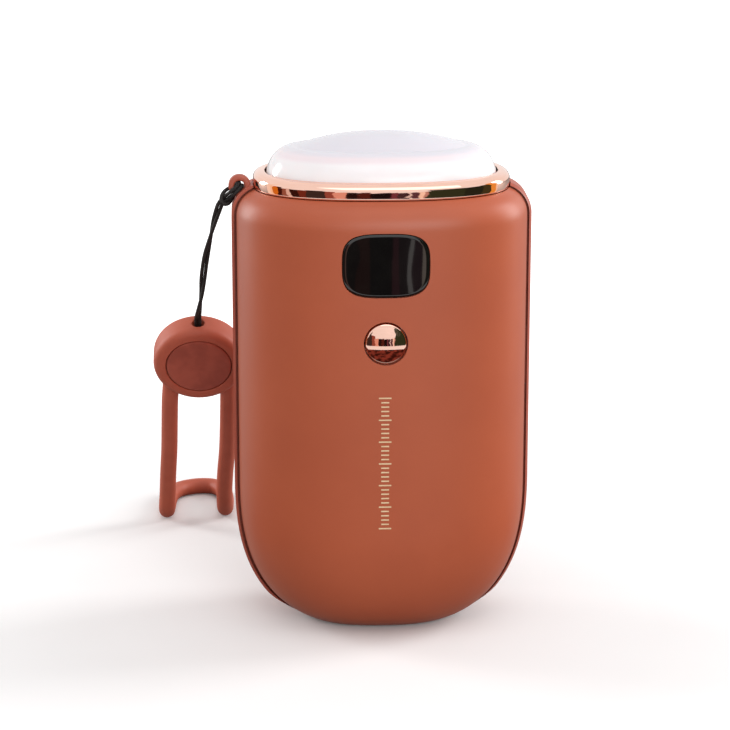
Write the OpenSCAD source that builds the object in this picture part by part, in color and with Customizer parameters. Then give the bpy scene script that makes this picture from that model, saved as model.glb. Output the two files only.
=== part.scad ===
// Rechargeable hand warmer with a night light on top and a wrist strap.
// The body stands on a flat rubber pad at z = 0. X runs across the front, Y runs to the back, Z is up.

/* [Body] */
// Width of the body over the side frame
body_w = 65.4; // [64.6:0.2:70]
// Depth of the body from the front shell to the rear shell
body_d = 44.5; // [44:0.5:50]
// Height of the top rim of both shells
rim_z = 99.1; // [98.6:0.1:99.4]
// Wall thickness of both shells
wall = 1.8; // [1.4:0.1:2.2]
// How square the plan of the body is, 2 is an ellipse
plan_power = 2.4; // [2.2:0.1:2.8]
// Radius of the shoulder below the lamp ring
shoulder_r = 6.2; // [6:0.1:6.6]

/* [Side frame] */
// Width of the side frame from front to back
frame_d = 7.8; // [7.6:0.2:9.4]
// Thickness of the frame's web
frame_t = 2.6; // [2.2:0.1:3]
// Thickness of the lip that stands round each shell
lip_t = 0.55; // [0.4:0.05:0.7]
// Width of the shadow gap between a shell and the frame
seam = 0.3; // [0.2:0.05:0.4]
// Outer radius of the strap eyelet
eyelet_r = 2.4; // [2.2:0.1:3]
// Radius of the hole in the strap eyelet
eyelet_hole_r = 1.1; // [1:0.05:1.3]
// Thickness of the strap eyelet
eyelet_t = 2.2; // [1.8:0.1:2.4]

/* [Lamp] */
// Width of the plated ring's band, seen from above
ring_w = 2.5; // [2:0.1:3]
// Height of the plated ring above the shells
ring_h = 3.5; // [3.2:0.1:4.2]
// Height of the lamp's crown above the base
lamp_top = 111.1; // [109:0.2:113]
// Wall thickness of the lamp cover
lamp_wall = 1.5; // [1.2:0.1:1.8]
// Number of light-emitting diodes on the lamp board
led_count = 10; // [6:2:14]

/* [Window and button] */
// Width of the display window
window_w = 18.8; // [16:0.2:20]
// Height of the display window
window_h = 14; // [12:0.2:15]
// Height of the middle of the display window
window_z = 86; // [85:0.5:87]
// Diameter of the hole for the power button
button_hole_d = 9.5; // [9:0.1:11]
// Height of the middle of the power button
button_z = 69; // [68:0.5:71]
// How far the button's dome stands out of the shell
button_out = 0.9; // [0.5:0.1:1.5]
// Travel of the power button
button_travel = 0.5; // [0.3:0.1:0.6]

/* [Cells and boards] */
// Diameter of one battery cell
cell_d = 18.4; // [18:0.1:18.6]
// Length of one battery cell
cell_l = 65; // [60:0.5:66]
// Height of the cells' lower end
cell_z = 16; // [15:0.5:17]
// How far the cells' axes lie behind the middle of the body
cell_y = 6; // [5.5:0.1:6.2]
// Thickness of the circuit boards
board_t = 1.2; // [1:0.1:1.6]
// Width of the main board
board_w = 40; // [38:0.5:41]
// Height of the main board
board_h = 54; // [52:0.5:55]
// Height of the middle of the charging ports
port_z = 53; // [50:0.5:56]

/* [Heating] */
// Thickness of each aluminium heat plate
plate_t = 0.6; // [0.4:0.1:0.8]
// Thickness of each heater film
film_t = 0.25; // [0.2:0.05:0.4]
// Height of the heat plates' lower edge
plate_z = 28; // [27:1:34]
// Height of the front heat plate
front_plate_h = 32; // [28:1:33]
// Height of the rear heat plate
rear_plate_h = 60; // [50:1:62]

/* [Strap] */
// Radius of the strap's round button
puck_r = 10.8; // [10.2:0.1:12]
// Thickness of the strap's round button
puck_t = 7.2; // [6.8:0.2:8]
// Radius of the round cap let into the button's face
puck_cap_r = 7.7; // [7:0.1:8]
// Diameter of one strand of the black cord
strand_d = 0.85; // [0.8:0.05:0.9]
// Diameter of the silicone wrist loop
loop_d = 4; // [3.8:0.1:4.2]

/* [Hidden] */

$fn = 48;
e = 0.01;
fit = 0.05;          // radial clearance of running and snap fits
seat = 0.1;          // clearance of a glued or trapped piece
plan_steps = 56;     // points round a plan section
base_z = 0.5;        // underside of the shells and the frame, above the pad
lip = lip_t + seam;  // step from the frame's outside to the shells' outside
frame_half = body_w / 2;
shell_half = frame_half - lip;
shell_deep = body_d / 2;
side_mid = 34.5;     // height where the sides start to curve in
side_drop = 36.15;   // height of that curve, down to where it would close
side_power = 2.6;
face_mid = 26;       // the same for the front and back faces
face_drop = 27.3;
face_power = 2.3;
shoulder_z = rim_z - 0.935 * shoulder_r;

// Half width of the shells' outline, "inset" inside their outer surface
function lower(z, half, mid, drop, power) =
    z >= mid ? half : half * pow(max(0, 1 - pow((mid - z) / drop, power)), 1 / power);
function shoulder(z, r) = z <= shoulder_z ? 0 : r - sqrt(max(0, r * r - pow(z - shoulder_z, 2)));
function side_x(z, inset) = lower(z, shell_half - inset, side_mid, side_drop - inset, side_power)
    - shoulder(z, shoulder_r - inset);
function face_y(z, inset) = lower(z, shell_deep - inset, face_mid, face_drop - inset, face_power)
    - shoulder(z, shoulder_r - inset);

// Half sizes of the shells' top rim and of the mouth inside it
rim_x = side_x(rim_z, 0);
rim_y = face_y(rim_z, 0);
mouth_x = rim_x - wall;
mouth_y = rim_y - wall;

// Points of a plan section with the half sizes a and b
function plan(a, b) = [for (i = [0 : plan_steps - 1]) let (t = 360 * i / plan_steps)
    [a * sign(cos(t)) * pow(abs(cos(t)), 2 / plan_power),
     b * sign(sin(t)) * pow(abs(sin(t)), 2 / plan_power)]];

// Heights of the sections of a shell surface, close together where it curves
function shell_heights(inset, low) = concat(
    [for (i = [0 : 9]) low + (side_mid - low) * (1 - cos(9 * i))],
    [side_mid],
    [for (i = [0 : 6]) shoulder_z + (rim_z - shoulder_z) * sin(15 * i)]);

// A solid through plan sections, each given as [half width, half depth, height]
module loft(sections) {
    n = plan_steps;
    last = len(sections) - 1;
    points = [for (s = sections) for (p = plan(s[0], s[1])) [p[0], p[1], s[2]]];
    sides = [for (k = [0 : last - 1]) for (i = [0 : n - 1]) let (j = (i + 1) % n)
        each [[k * n + i, (k + 1) * n + i, (k + 1) * n + j], [k * n + i, (k + 1) * n + j, k * n + j]]];
    polyhedron(points, concat([[for (i = [0 : n - 1]) i]],
        sides, [[for (i = [n - 1 : -1 : 0]) last * n + i]]));
}

// The upright prism on one plan section
module slab(a, b, z0, z1) {
    translate([0, 0, z0]) linear_extrude(z1 - z0) polygon(plan(a, b));
}

// A box from its lowest to its highest corner
module block(low, high) {
    translate(low) cube(high - low);
}

// A rod along Y, from y0 to y1
module rod_y(r, x, z, y0, y1) {
    translate([x, y1, z]) rotate([90, 0, 0]) cylinder(r = r, h = y1 - y0);
}

// Depth of the straight part of the body at x, "inset" inside the shells' outer surface
function straight_y(x, inset) = (shell_deep - inset)
    * pow(1 - pow(abs(x) / (shell_half - inset), plan_power), 1 / plan_power);

// A curved strip of the straight part of the body between two insets, "side" is -1 in front
module arc_slab(half, outer, inner, z0, z1, side) {
    steps = 24;
    xs = [for (i = [0 : steps]) half * (2 * i / steps - 1)];
    translate([0, 0, z0]) linear_extrude(z1 - z0) polygon(concat(
        [for (x = xs) [x, side * straight_y(x, outer)]],
        [for (i = [steps : -1 : 0]) [xs[i], side * straight_y(xs[i], inner)]]));
}

// The inside of the straight part, in front of the middle or behind it, at the given inset
module half_fill(half, inset, z0, z1, side) {
    steps = 24;
    xs = [for (i = [0 : steps]) half * (2 * i / steps - 1)];
    translate([0, 0, z0]) linear_extrude(z1 - z0) polygon(concat(
        [for (x = xs) [x, side * straight_y(x, inset)]], [[half, -side * lug_y], [-half, -side * lug_y]]));
}

// Front and rear shells

post_x = 24.5;                  // posts that meet the carrier's lugs
post_z = [30, 78];              // heights of the lugs' middles
post_r = 2.2;
post_apart = 2.6;               // front posts stand this far below a lug's middle, rear ones above it
post_in = wall / 3;             // how far the posts' roots stay inside the outer surface
pilot_r = 0.75;
pilot_l = 5.2;
snap_r = 1.1;                   // snap pins on the rear shell's posts
lug_y = 5;                      // where the front posts meet the lugs
lug_t = 2.5;
lug_half = 5.2;                 // half height of a lug
shell_edge = frame_d / 2 - 0.6; // half depth where a shell's edge meets the frame's web

// The hollow of the shells, no narrower at the top than their mouth
module hollow() {
    low = base_z + wall;
    loft([for (z = shell_heights(wall, low)) let (above = z > shoulder_z)
        [above ? max(side_x(z, wall), mouth_x) : side_x(z, wall),
         above ? max(face_y(z, wall), mouth_y) : face_y(z, wall), z]]);
}

module half_shell(side) {
    intersection() {
        difference() {
            loft([for (z = shell_heights(0, base_z)) [side_x(z, 0), face_y(z, 0), z]]);
            hollow();
            slab(mouth_x, mouth_y, rim_z - wall, rim_z + 1);
        }
        block([-body_w, side < 0 ? -body_d : shell_edge, 0],
              [body_w, side < 0 ? -shell_edge : body_d, rim_z + 5]);
    }
}

module window_outline(grow, y0, y1) {
    power = 3.4;
    w = window_w / 2 + grow;
    h = window_h / 2 + grow;
    translate([0, y1, window_z]) rotate([90, 0, 0]) linear_extrude(y1 - y0) polygon(
        [for (i = [0 : 39]) let (t = 9 * i) [w * sign(cos(t)) * pow(abs(cos(t)), 2 / power),
            h * sign(sin(t)) * pow(abs(sin(t)), 2 / power)]]);
}

lens_t = 1;     // thickness of the window's lens
lens_gap = 0.15;
ledge = 1.3;    // width of the ledge that the lens is glued to

module post_place(shift) {
    for (x = [-post_x, post_x]) for (z = post_z) translate([x, 0, z + shift]) children();
}

// Posts from the wall of a shell to the lugs' face at y_end
module posts(side, y_end) {
    deep = side * shell_deep;
    intersection() {
        post_place(side * post_apart) rod_y(post_r, 0, 0, min(deep, y_end), max(deep, y_end));
        half_fill(post_x + post_r + 1, post_in, post_z[0] - lug_half, post_z[1] + lug_half, side);
    }
}

module front_shell() {
    color([0.71, 0.37, 0.26]) difference() {
        union() {
            half_shell(-1);
            posts(-1, -lug_y);
        }
        post_place(-post_apart) rod_y(pilot_r, 0, 0, -lug_y - pilot_l, -lug_y + e);
        intersection() {
            window_outline(0, -body_d, -body_d / 4);
            arc_slab(window_w, -2, lens_t, window_z - window_h, window_z + window_h, -1);
        }
        window_outline(-ledge, -body_d, -body_d / 4);
        rod_y(button_hole_d / 2, 0, button_z, -body_d, -body_d / 4);
    }
}

module rear_shell() {
    lug_back = lug_t - lug_y;
    color([0.71, 0.37, 0.26]) union() {
        half_shell(1);
        posts(1, lug_back);
        post_place(post_apart) rod_y(snap_r, 0, 0, lug_back - lug_t + 0.4, lug_back + 1);
    }
}

// Side frame with the strap eyelet and the port openings

frame_rim_r = shoulder_r + lip;
eyelet_x = -(frame_half - 1.8);
eyelet_z = rim_z + 0.2;
usb_a_h = 13.2;                 // height and thickness of the larger port
usb_a_t = 5.2;
usb_c_l = 7.6;                  // length, height and thickness of the smaller port
usb_c_h = 9;
usb_c_t = 3.2;
usb_a_z = port_z + 8;
usb_c_z = port_z - 8;

function frame_x(z, inset) = lower(z, frame_half - inset, side_mid, side_drop + lip - inset, side_power)
    - shoulder(z, frame_rim_r - inset);
function frame_heights(low) = concat(
    [for (i = [0 : 11]) low + (side_mid - low) * (1 - cos(7.5 * i))], [side_mid],
    [for (i = [0 : 8]) shoulder_z + 0.98 * frame_rim_r * sin(11.25 * i)]);

// The frame's outline seen from the front, "inset" inside its outer surface
module frame_slab(inset, half_y) {
    heights = frame_heights(base_z + inset);
    last = len(heights) - 1;
    rotate([90, 0, 0]) translate([0, 0, -half_y]) linear_extrude(2 * half_y) polygon(concat(
        [for (z = heights) [frame_x(z, inset), z]],
        [for (i = [last : -1 : 0]) [-frame_x(heights[i], inset), heights[i]]]));
}

function core_x(z, inset) = z > shoulder_z
    ? max(frame_half - inset - frame_rim_r, frame_x(z, inset)) : frame_x(z, inset);

// The space inside the frame from the height "low" up, at the given inset and open at the top
module frame_core(inset, half_y, low) {
    heights = frame_heights(low);
    last = len(heights) - 1;
    top = max(0, frame_half - inset - frame_rim_r);
    rotate([90, 0, 0]) translate([0, 0, -half_y]) linear_extrude(2 * half_y) polygon(concat(
        [for (z = heights) [core_x(z, inset), z]], [[top, rim_z + 20], [-top, rim_z + 20]],
        [for (i = [last : -1 : 0]) [-core_x(heights[i], inset), heights[i]]]));
}

module side_frame() {
    web_half = shell_edge - 0.15;
    color([0.64, 0.32, 0.24]) difference() {
        union() {
            difference() {
                frame_slab(0, web_half);
                frame_core(frame_t, web_half + 1, base_z + frame_t);
            }
            difference() {
                frame_slab(0, frame_d / 2);
                frame_core(lip_t, frame_d / 2 + 1, 0);
            }
            rod_y(eyelet_r, eyelet_x, eyelet_z, -eyelet_t / 2, eyelet_t / 2);
        }
        slab(mouth_x, mouth_y, rim_z - 8, rim_z + 20);
        slab(rim_x + seam, rim_y + seam, rim_z, rim_z + 20);
        rod_y(eyelet_hole_r, eyelet_x, eyelet_z, -eyelet_t, eyelet_t);
        block([frame_half - 2 * frame_t, -usb_a_t / 2 - seat, usb_a_z - usb_a_h / 2 - seat],
              [frame_half + 1, usb_a_t / 2 + seat, usb_a_z + usb_a_h / 2 + seat]);
        usb_c_shape(seat, frame_half - 2 * frame_t, frame_half + 1);
        for (x = [-frame_screw_x, frame_screw_x]) translate([x, 0, 0]) {
            cylinder(r = screw_r + fit, h = 10);
            cylinder(r = screw_head_r + seat, h = base_z + screw_head_h);
        }
    }
}

module usb_c_shape(grow, x0, x1) {
    r = usb_c_t / 2 + grow;
    side = (usb_c_h - usb_c_t) / 2;
    for (z = [-side, side]) translate([x0, 0, usb_c_z + z]) rotate([0, 90, 0]) cylinder(r = r, h = x1 - x0);
    block([x0, -r, usb_c_z - side], [x1, r, usb_c_z + side]);
}

// Rubber pad glued under the shells and the frame, over the frame's screws

pad_in = 1.2;                   // how far the pad stays inside the flat underside
module base_pad() {
    color([0.2, 0.18, 0.17]) slab(side_x(base_z, 0) - pad_in, face_y(base_z, 0) - pad_in, 0, base_z);
}

// Lamp

ring_z = rim_z + 0.1;
open_x = rim_x - ring_w;        // opening of the ring
open_y = rim_y - ring_w;
skirt = 2.2;                    // depth of the ring's skirt inside the shells
cover_gap = 0.25;
cover_x = open_x - cover_gap;
cover_y = open_y - cover_gap;
holder_z = rim_z - 5.4;         // underside of the lamp holder's plate
holder_t = 1.4;
flange_z = holder_z + holder_t;
flange_t = rim_z - skirt - seat - flange_z;
holder_x = mouth_x + 0.9;
holder_y = mouth_y + 0.9;
ring_swell = 0.12;              // how far the ring's band stands out at its middle
band_low = 0.5;                 // the band's straight part, above the ring's underside
band_high = 1.3;
round_from = 1.5;               // where the ring's rounded top starts

module lamp_ring() {
    out_x = rim_x + ring_swell;
    out_y = rim_y + ring_swell;
    color([0.86, 0.6, 0.5]) difference() {
        union() {
            loft(concat([[rim_x - ring_swell, rim_y - ring_swell, ring_z],
                [out_x, out_y, ring_z + band_low], [out_x, out_y, ring_z + band_high]],
                [for (a = [15 : 15 : 90]) let (in = min((ring_w + ring_swell) * (1 - cos(a)), ring_w - 0.1))
                    [out_x - in, out_y - in, ring_z + round_from + (ring_h - round_from) * sin(a)]]));
            slab(mouth_x - seat, mouth_y - seat, rim_z - skirt, ring_z + 1);
        }
        slab(open_x, open_y, rim_z - skirt - 1, ring_z + ring_h + 1);
    }
}

crown_sag = 3.1;                // how far the crown falls from its middle to the rounded edge
edge_h = 7;                     // height of the rounded edge between side and crown
edge_in = 6.5;                  // how far the rounded edge reaches in
edge_power = 2.1;
side_z = lamp_top - crown_sag - edge_h; // height where the side starts to lean in
function cover_outer(a, b, lift) = concat(
    [for (i = [0 : 8]) let (t = 11.25 * i, in = edge_in * (1 - pow(cos(t), 2 / edge_power)))
        [a - in, b - in, side_z + edge_h * pow(sin(t), 2 / edge_power) - lift]],
    [for (s = [0.92, 0.78, 0.6, 0.4, 0.2, 0.05])
        [(a - edge_in) * s, (b - edge_in) * s, lamp_top - lift - crown_sag * s * s]]);

module lamp_cover() {
    color([0.97, 0.93, 0.94]) difference() {
        union() {
            loft(concat([[cover_x, cover_y, flange_z + flange_t - e]], cover_outer(cover_x, cover_y, 0)));
            slab(mouth_x - cover_gap, mouth_y - cover_gap, flange_z, flange_z + flange_t);
        }
        loft(concat([[cover_x - lamp_wall, cover_y - lamp_wall, flange_z - 1]],
            cover_outer(cover_x - lamp_wall, cover_y - lamp_wall, lamp_wall)));
    }
}

lamp_board_x = cover_x - lamp_wall - 0.4;
lamp_board_y = cover_y - lamp_wall - 0.4;
lamp_screw_x = 19;
holder_post_r = 2.6;
screw_r = 0.8;
screw_head_r = 1.5;
screw_head_h = 1;

module lamp_screw_place(z) {
    for (x = [-lamp_screw_x, lamp_screw_x]) translate([x, 0, z]) children();
}

module lamp_board() {
    color([0.93, 0.93, 0.9]) difference() {
        slab(lamp_board_x, lamp_board_y, flange_z, flange_z + board_t);
        lamp_screw_place(flange_z - 1) cylinder(r = screw_r + fit, h = 5);
    }
}

led_size = [3.5, 2.8, 0.8];
module lamp_leds() {
    color([0.98, 0.9, 0.55]) for (i = [0 : led_count - 1]) let (t = 360 * (i + 0.5) / led_count)
        translate([0.62 * lamp_board_x * cos(t), 0.62 * lamp_board_y * sin(t),
            flange_z + board_t + led_size[2] / 2]) cube(led_size, center = true);
}

lamp_lead_y = 5;                // where the lamp's leads pass through the holder
module lamp_holder() {
    color([0.95, 0.95, 0.93]) difference() {
        slab(holder_x, holder_y, holder_z, holder_z + holder_t);
        lamp_screw_place(holder_z - 1) cylinder(r = screw_r + fit, h = 5);
        translate([0, lamp_lead_y, holder_z - 1]) cylinder(r = 2, h = 5);
    }
}

// A screw along Z with its head at the top and its thread, "length" long, below z = 0
module screw(length, r) {
    difference() {
        union() {
            cylinder(r = screw_head_r, h = screw_head_h);
            translate([0, 0, -length]) cylinder(r = r, h = length + e);
        }
        translate([0, 0, screw_head_h - 0.5]) for (a = [0, 90]) rotate([0, 0, a])
            translate([-0.9, -0.2, 0]) cube([1.8, 0.4, 1]);
    }
}

module lamp_screws() {
    color("silver") lamp_screw_place(flange_z + board_t) screw(holder_t + board_t + 5, screw_r);
}

// Display

module display_window() {
    color([0.03, 0.03, 0.035]) intersection() {
        arc_slab(window_w / 2, fit, lens_t - fit, window_z - window_h / 2, window_z + window_h / 2, -1);
        window_outline(-lens_gap, -body_d, -body_d / 4);
    }
}

board_y = -11.4;                        // rear face of the main board
board_front = board_y - board_t;
module_top = holder_z - 2;
module_h = 10.4;
module_w = 15.4;
module_y = -(shell_deep - wall) + 1.6;  // front face of the display module
gasket_y = -(shell_deep - wall) + 0.45;
gasket_out = 0.4;                       // how far the gasket stands out round the module
gasket_in = 1;                          // how far it covers the module's edge

module display_gasket() {
    low = module_top - module_h;
    outer = module_w / 2 + gasket_out;
    inner = module_w / 2 - gasket_in;
    color([0.08, 0.08, 0.08]) difference() {
        block([-outer, gasket_y, low - gasket_out], [outer, module_y, module_top + gasket_out]);
        block([-inner, gasket_y - 1, low + gasket_in], [inner, module_y + 1, module_top - gasket_in]);
    }
}

module display_module() {
    color([0.12, 0.12, 0.13]) block([-module_w / 2, module_y, module_top - module_h],
        [module_w / 2, board_front, module_top]);
}

// Power button and its switch

flange_y = -(shell_deep - wall) + 0.3;  // front face of the button's flange
switch_t = 3.4;
switch_half = 3;                        // half width of the switch
switch_front = board_front - switch_t;
plunger_r = 1.7;
plunger_out = 1.1;
button_gap = 0.35;                      // gap round the button in its hole
button_r = button_hole_d / 2 - button_gap;
dome_h = 0.9;                           // height of the button's domed face
flange_r = button_r + 0.9;
flange_thick = 0.8;
stem_r = 1.5;

module power_button() {
    ball = (button_r * button_r + dome_h * dome_h) / (2 * dome_h);
    tip = shell_deep + button_out;
    color([0.88, 0.6, 0.5]) union() {
        rod_y(flange_r, 0, button_z, flange_y, flange_y + flange_thick);
        rod_y(stem_r, 0, button_z, flange_y, switch_front - plunger_out);
        intersection() {
            rod_y(button_r, 0, button_z, -tip, flange_y + e);
            translate([0, ball - tip, button_z]) rotate([90, 0, 0]) sphere(r = ball, $fn = 96);
        }
    }
}

module switch_plunger() {
    color([0.15, 0.15, 0.15]) rod_y(plunger_r, 0, button_z, switch_front - plunger_out, switch_front + 0.9);
}

module tact_switch() {
    color([0.3, 0.3, 0.32]) difference() {
        block([-switch_half, switch_front, button_z - switch_half],
              [switch_half, board_front, button_z + switch_half]);
        rod_y(plunger_r + fit, 0, button_z, switch_front - 1, switch_front + 1 + button_travel);
    }
}

// Main board and what stands on it

board_top = holder_z - 1.2;
board_low = board_top - board_h;
board_hole_x = board_w / 2 - 2.6;
board_hole_z = [board_low + 3, board_top - 12];

module board_hole_place() {
    for (x = [-board_hole_x, board_hole_x]) for (z = board_hole_z) translate([x, 0, z]) children();
}

module main_board() {
    color([0.1, 0.36, 0.2]) difference() {
        block([-board_w / 2, board_front, board_low], [board_w / 2, board_y, board_top]);
        board_hole_place() rod_y(screw_r + fit, 0, 0, board_front - 1, board_y + 1);
    }
}

module controller_chips() {
    color([0.1, 0.1, 0.11]) {
        block([-6, board_front - 1.4, board_low + 8], [1, board_front, board_low + 15]);
        block([-13, board_front - 1, board_low + 18], [-8, board_front, board_low + 22]);
        block([8, board_front - 1, button_z - 3], [12, board_front, button_z + 3]);
        for (i = [0 : 3]) block([-11.2 + 2.4 * i, board_front - 0.8, board_low + 1.6],
            [-10 + 2.4 * i, board_front, board_low + 3.6]);
    }
}

module power_inductor() {
    color([0.24, 0.24, 0.25]) difference() {
        block([5, board_front - 3, board_low + 8], [12, board_front, board_low + 15]);
        rod_y(2, 8.5, board_low + 11.5, board_front - 4, board_front - 2.7);
    }
}

// Lead sockets, each open at its lower end
socket_w = 6;
socket_h = 4.6;
socket_t = 3;
socket_wall = 0.6;
mouth = 1.8;                    // depth of a socket's opening
battery_socket_at = [-13.2, board_low + 9.7];
rear_socket_at = [14, board_low + 18.7];
front_socket_at = [-2.5, board_low + 19.2];

module socket(at) {
    difference() {
        block([at[0] - socket_w / 2, board_front - socket_t, at[1]],
              [at[0] + socket_w / 2, board_front, at[1] + socket_h]);
        block([at[0] - socket_w / 2 + socket_wall, board_front - socket_t + socket_wall, at[1] - e],
              [at[0] + socket_w / 2 - socket_wall, board_front - socket_wall, at[1] + mouth]);
    }
}

module battery_socket() {
    color([0.93, 0.91, 0.84]) socket(battery_socket_at);
}

module heater_sockets() {
    color([0.93, 0.91, 0.84]) {
        socket(rear_socket_at);
        socket(front_socket_at);
    }
}

module board_screws() {
    color("silver") board_hole_place() translate([0, board_front, 0]) rotate([90, 0, 0])
        screw(board_t + 5, screw_r);
}

// Charging ports on their own board, behind the openings in the side frame

carrier_wall = 0.3;                     // carrier outside the cells, at each side
carrier_x = cell_d + carrier_wall;
port_board_y = -usb_a_t / 2;            // front face of the ports, the board lies against it
port_board_t = 1;
port_end = frame_half - 0.5;            // the ports' mouths, a little inside the frame's outer face
port_gap = 1.3;                         // room between the larger port and the carrier
port_metal = 0.35;                      // thickness of the ports' shells
tongue_in = 1.2;                        // how far the tongues end inside the mouths

module port_board() {
    color([0.1, 0.36, 0.2]) block([carrier_x + seat, port_board_y - port_board_t, usb_c_z - 7],
        [frame_half - frame_t - 0.3, port_board_y, usb_a_z + 9]);
}

module usb_a_port() {
    start = carrier_x + port_gap;
    half_t = usb_a_t / 2;
    half_h = usb_a_h / 2;
    color("silver") difference() {
        block([start, -half_t, usb_a_z - half_h], [port_end, half_t, usb_a_z + half_h]);
        difference() {
            block([start + 1.7, -half_t + port_metal, usb_a_z - half_h + port_metal],
                  [port_end + 1, half_t - port_metal, usb_a_z + half_h - port_metal]);
            block([start, 0.2, usb_a_z - half_h + 1], [port_end - tongue_in, 1.9, usb_a_z + half_h - 1]);
        }
    }
}

module usb_c_port() {
    start = port_end - usb_c_l;
    tongue = 0.35;
    foot = 1;
    color("silver") union() {
        difference() {
            usb_c_shape(0, start, port_end);
            difference() {
                usb_c_shape(-port_metal, start + 1, port_end + 1);
                block([start, -tongue, usb_c_z - usb_c_h / 2 + tongue_in],
                      [port_end - tongue_in, tongue, usb_c_z + usb_c_h / 2 - tongue_in]);
            }
        }
        for (z = [-2.2, 1.2]) for (x = [1, 4]) block([start + x, port_board_y, usb_c_z + z],
            [start + x + foot, -usb_c_t / 2 + 0.2, usb_c_z + z + foot]);
    }
}

// Battery and carrier

carrier_front = -4.2;
cradle_r = cell_d / 2 + 0.12;
cradle_back = cell_y - 4;       // how far back the cradle holds the cells
end_t = 2.2;                    // end plates over and under the cells
tab_t = 0.2;
carrier_low = cell_z - end_t - tab_t;
carrier_top = cell_z + cell_l + end_t + tab_t;
foot_r = 3;                     // feet that stand on the frame
frame_screw_x = 9;
arm_half = 3;                   // half height of the arms that locate the frame
lead_r = 0.6;
lead_hole = [-11, cell_y];      // holes of the battery's leads in the end plates

cell_x = cell_d / 2 + 0.15;     // distance of the cells' axes from the middle
tip_h = 0.6;                    // the cells' raised upper ends

module cell_axis(z) {
    for (x = [-cell_x, cell_x]) translate([x, cell_y, z]) children();
}

module inner_carrier() {
    floor_z = base_z + frame_t;
    lug_back = lug_t - lug_y;
    arm_front = max(lug_back - 1.3, seat - shell_edge);     // the arms pass between the shells' edges
    color([0.85, 0.84, 0.8]) difference() {
        union() {
            block([-carrier_x, carrier_front, carrier_low], [carrier_x, cradle_back, carrier_top]);
            for (z = [carrier_low, carrier_top - end_t]) cell_axis(z) cylinder(r = cell_d / 2, h = end_t);
            for (z = post_z) {
                reach = frame_x(z - arm_half, frame_t) - seat;
                block([-post_x - 3, -lug_y, z - lug_half], [post_x + 3, lug_back, z + lug_half]);
                block([-reach, arm_front, z - arm_half], [reach, lug_back, z + arm_half]);
            }
            board_hole_place() rod_y(2.4, 0, 0, board_y, carrier_front + e);
            for (x = [-lamp_screw_x, lamp_screw_x]) {
                translate([x, 0, carrier_top - end_t])
                    cylinder(r = holder_post_r, h = holder_z - carrier_top + end_t);
                block([min(x, sign(x) * (carrier_x - 3)), -2, carrier_top - end_t],
                      [max(x, sign(x) * (carrier_x - 3)), 2, carrier_top]);
            }
            for (x = [-frame_screw_x, frame_screw_x]) translate([x, 0, floor_z])
                cylinder(r = foot_r, h = carrier_low - floor_z + e);
        }
        cell_axis(cell_z - tab_t - e) cylinder(r = cradle_r, h = cell_l + 2 * tab_t + 2 * e);
        board_hole_place() rod_y(screw_r + fit, 0, 0, board_y - 1, board_y + 6.2);
        post_place(-post_apart) rod_y(pilot_r + fit, 0, 0, -lug_y - 1, lug_back + 1);
        post_place(post_apart) rod_y(snap_r + fit, 0, 0, -lug_y - 1, lug_back + 1);
        lamp_screw_place(holder_z - 5.6) cylinder(r = screw_r + fit, h = 6);
        for (x = [-frame_screw_x, frame_screw_x]) translate([x, 0, floor_z - 1])
            cylinder(r = screw_r + fit, h = 8.6);
        translate([lead_hole[0], lead_hole[1], 0]) cylinder(r = lead_r + 0.4, h = rim_z);
    }
}

module cell(x) {
    translate([x, cell_y, cell_z]) {
        cylinder(r = cell_d / 2, h = cell_l - tip_h);
        translate([0, 0, cell_l - tip_h - e]) cylinder(r = cell_d / 2 - 1.4, h = tip_h + e);
    }
}

module battery_cell_left() {
    color([0.16, 0.42, 0.68]) cell(-cell_x);
}

module battery_cell_right() {
    color([0.16, 0.42, 0.68]) cell(cell_x);
}

module tab(z) {
    block([-13, cell_y - 3.5, z], [13, cell_y + 3.5, z + tab_t - 0.05]);
}

module battery_tab_top() {
    color([0.8, 0.8, 0.78]) tab(cell_z + cell_l);
}

module battery_tab_bottom() {
    color([0.8, 0.8, 0.78]) tab(cell_z - tab_t + 0.05);
}

// Heating

plate_in = wall + 0.15;
film_in = plate_in + plate_t + 0.02;
front_plate_half = post_x - post_r - 1.2;
rear_plate_half = front_plate_half;

module front_heat_plate() {
    color([0.8, 0.81, 0.83]) arc_slab(front_plate_half, plate_in, plate_in + plate_t, plate_z,
        plate_z + front_plate_h, -1);
}

module front_heater_film() {
    color([0.85, 0.55, 0.15]) arc_slab(front_plate_half - 1, film_in, film_in + film_t, plate_z + 1,
        plate_z + front_plate_h - 1, -1);
}

module rear_heat_plate() {
    color([0.8, 0.81, 0.83]) arc_slab(rear_plate_half, plate_in, plate_in + plate_t, plate_z,
        plate_z + rear_plate_h, 1);
}

module rear_heater_film() {
    color([0.85, 0.55, 0.15]) arc_slab(rear_plate_half - 1, film_in, film_in + film_t, plate_z + 1,
        plate_z + rear_plate_h - 1, 1);
}

film_back = shell_deep - film_in - film_t;
module thermal_sensor() {
    color([0.1, 0.1, 0.1]) translate([-1.2, film_back - 1.25, 46])
        cylinder(r = 1.2, h = 4);
}

// Leads and cords are round tubes, their rings carried along without twist
function unit(v) = v / norm(v);
function square_to(w, v) = unit(v - (v * w) * w);
function ways(p, start, finish) = concat([start],
    [for (i = [1 : len(p) - 2]) unit(p[i + 1] - p[i - 1])], [finish]);
function normals(w) = [for (i = 0, n = square_to(w[0], [0.6, 0.55, 0.4]); i < len(w);
    i = i + 1, n = square_to(w[min(i, len(w) - 1)], n)) n];

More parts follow.
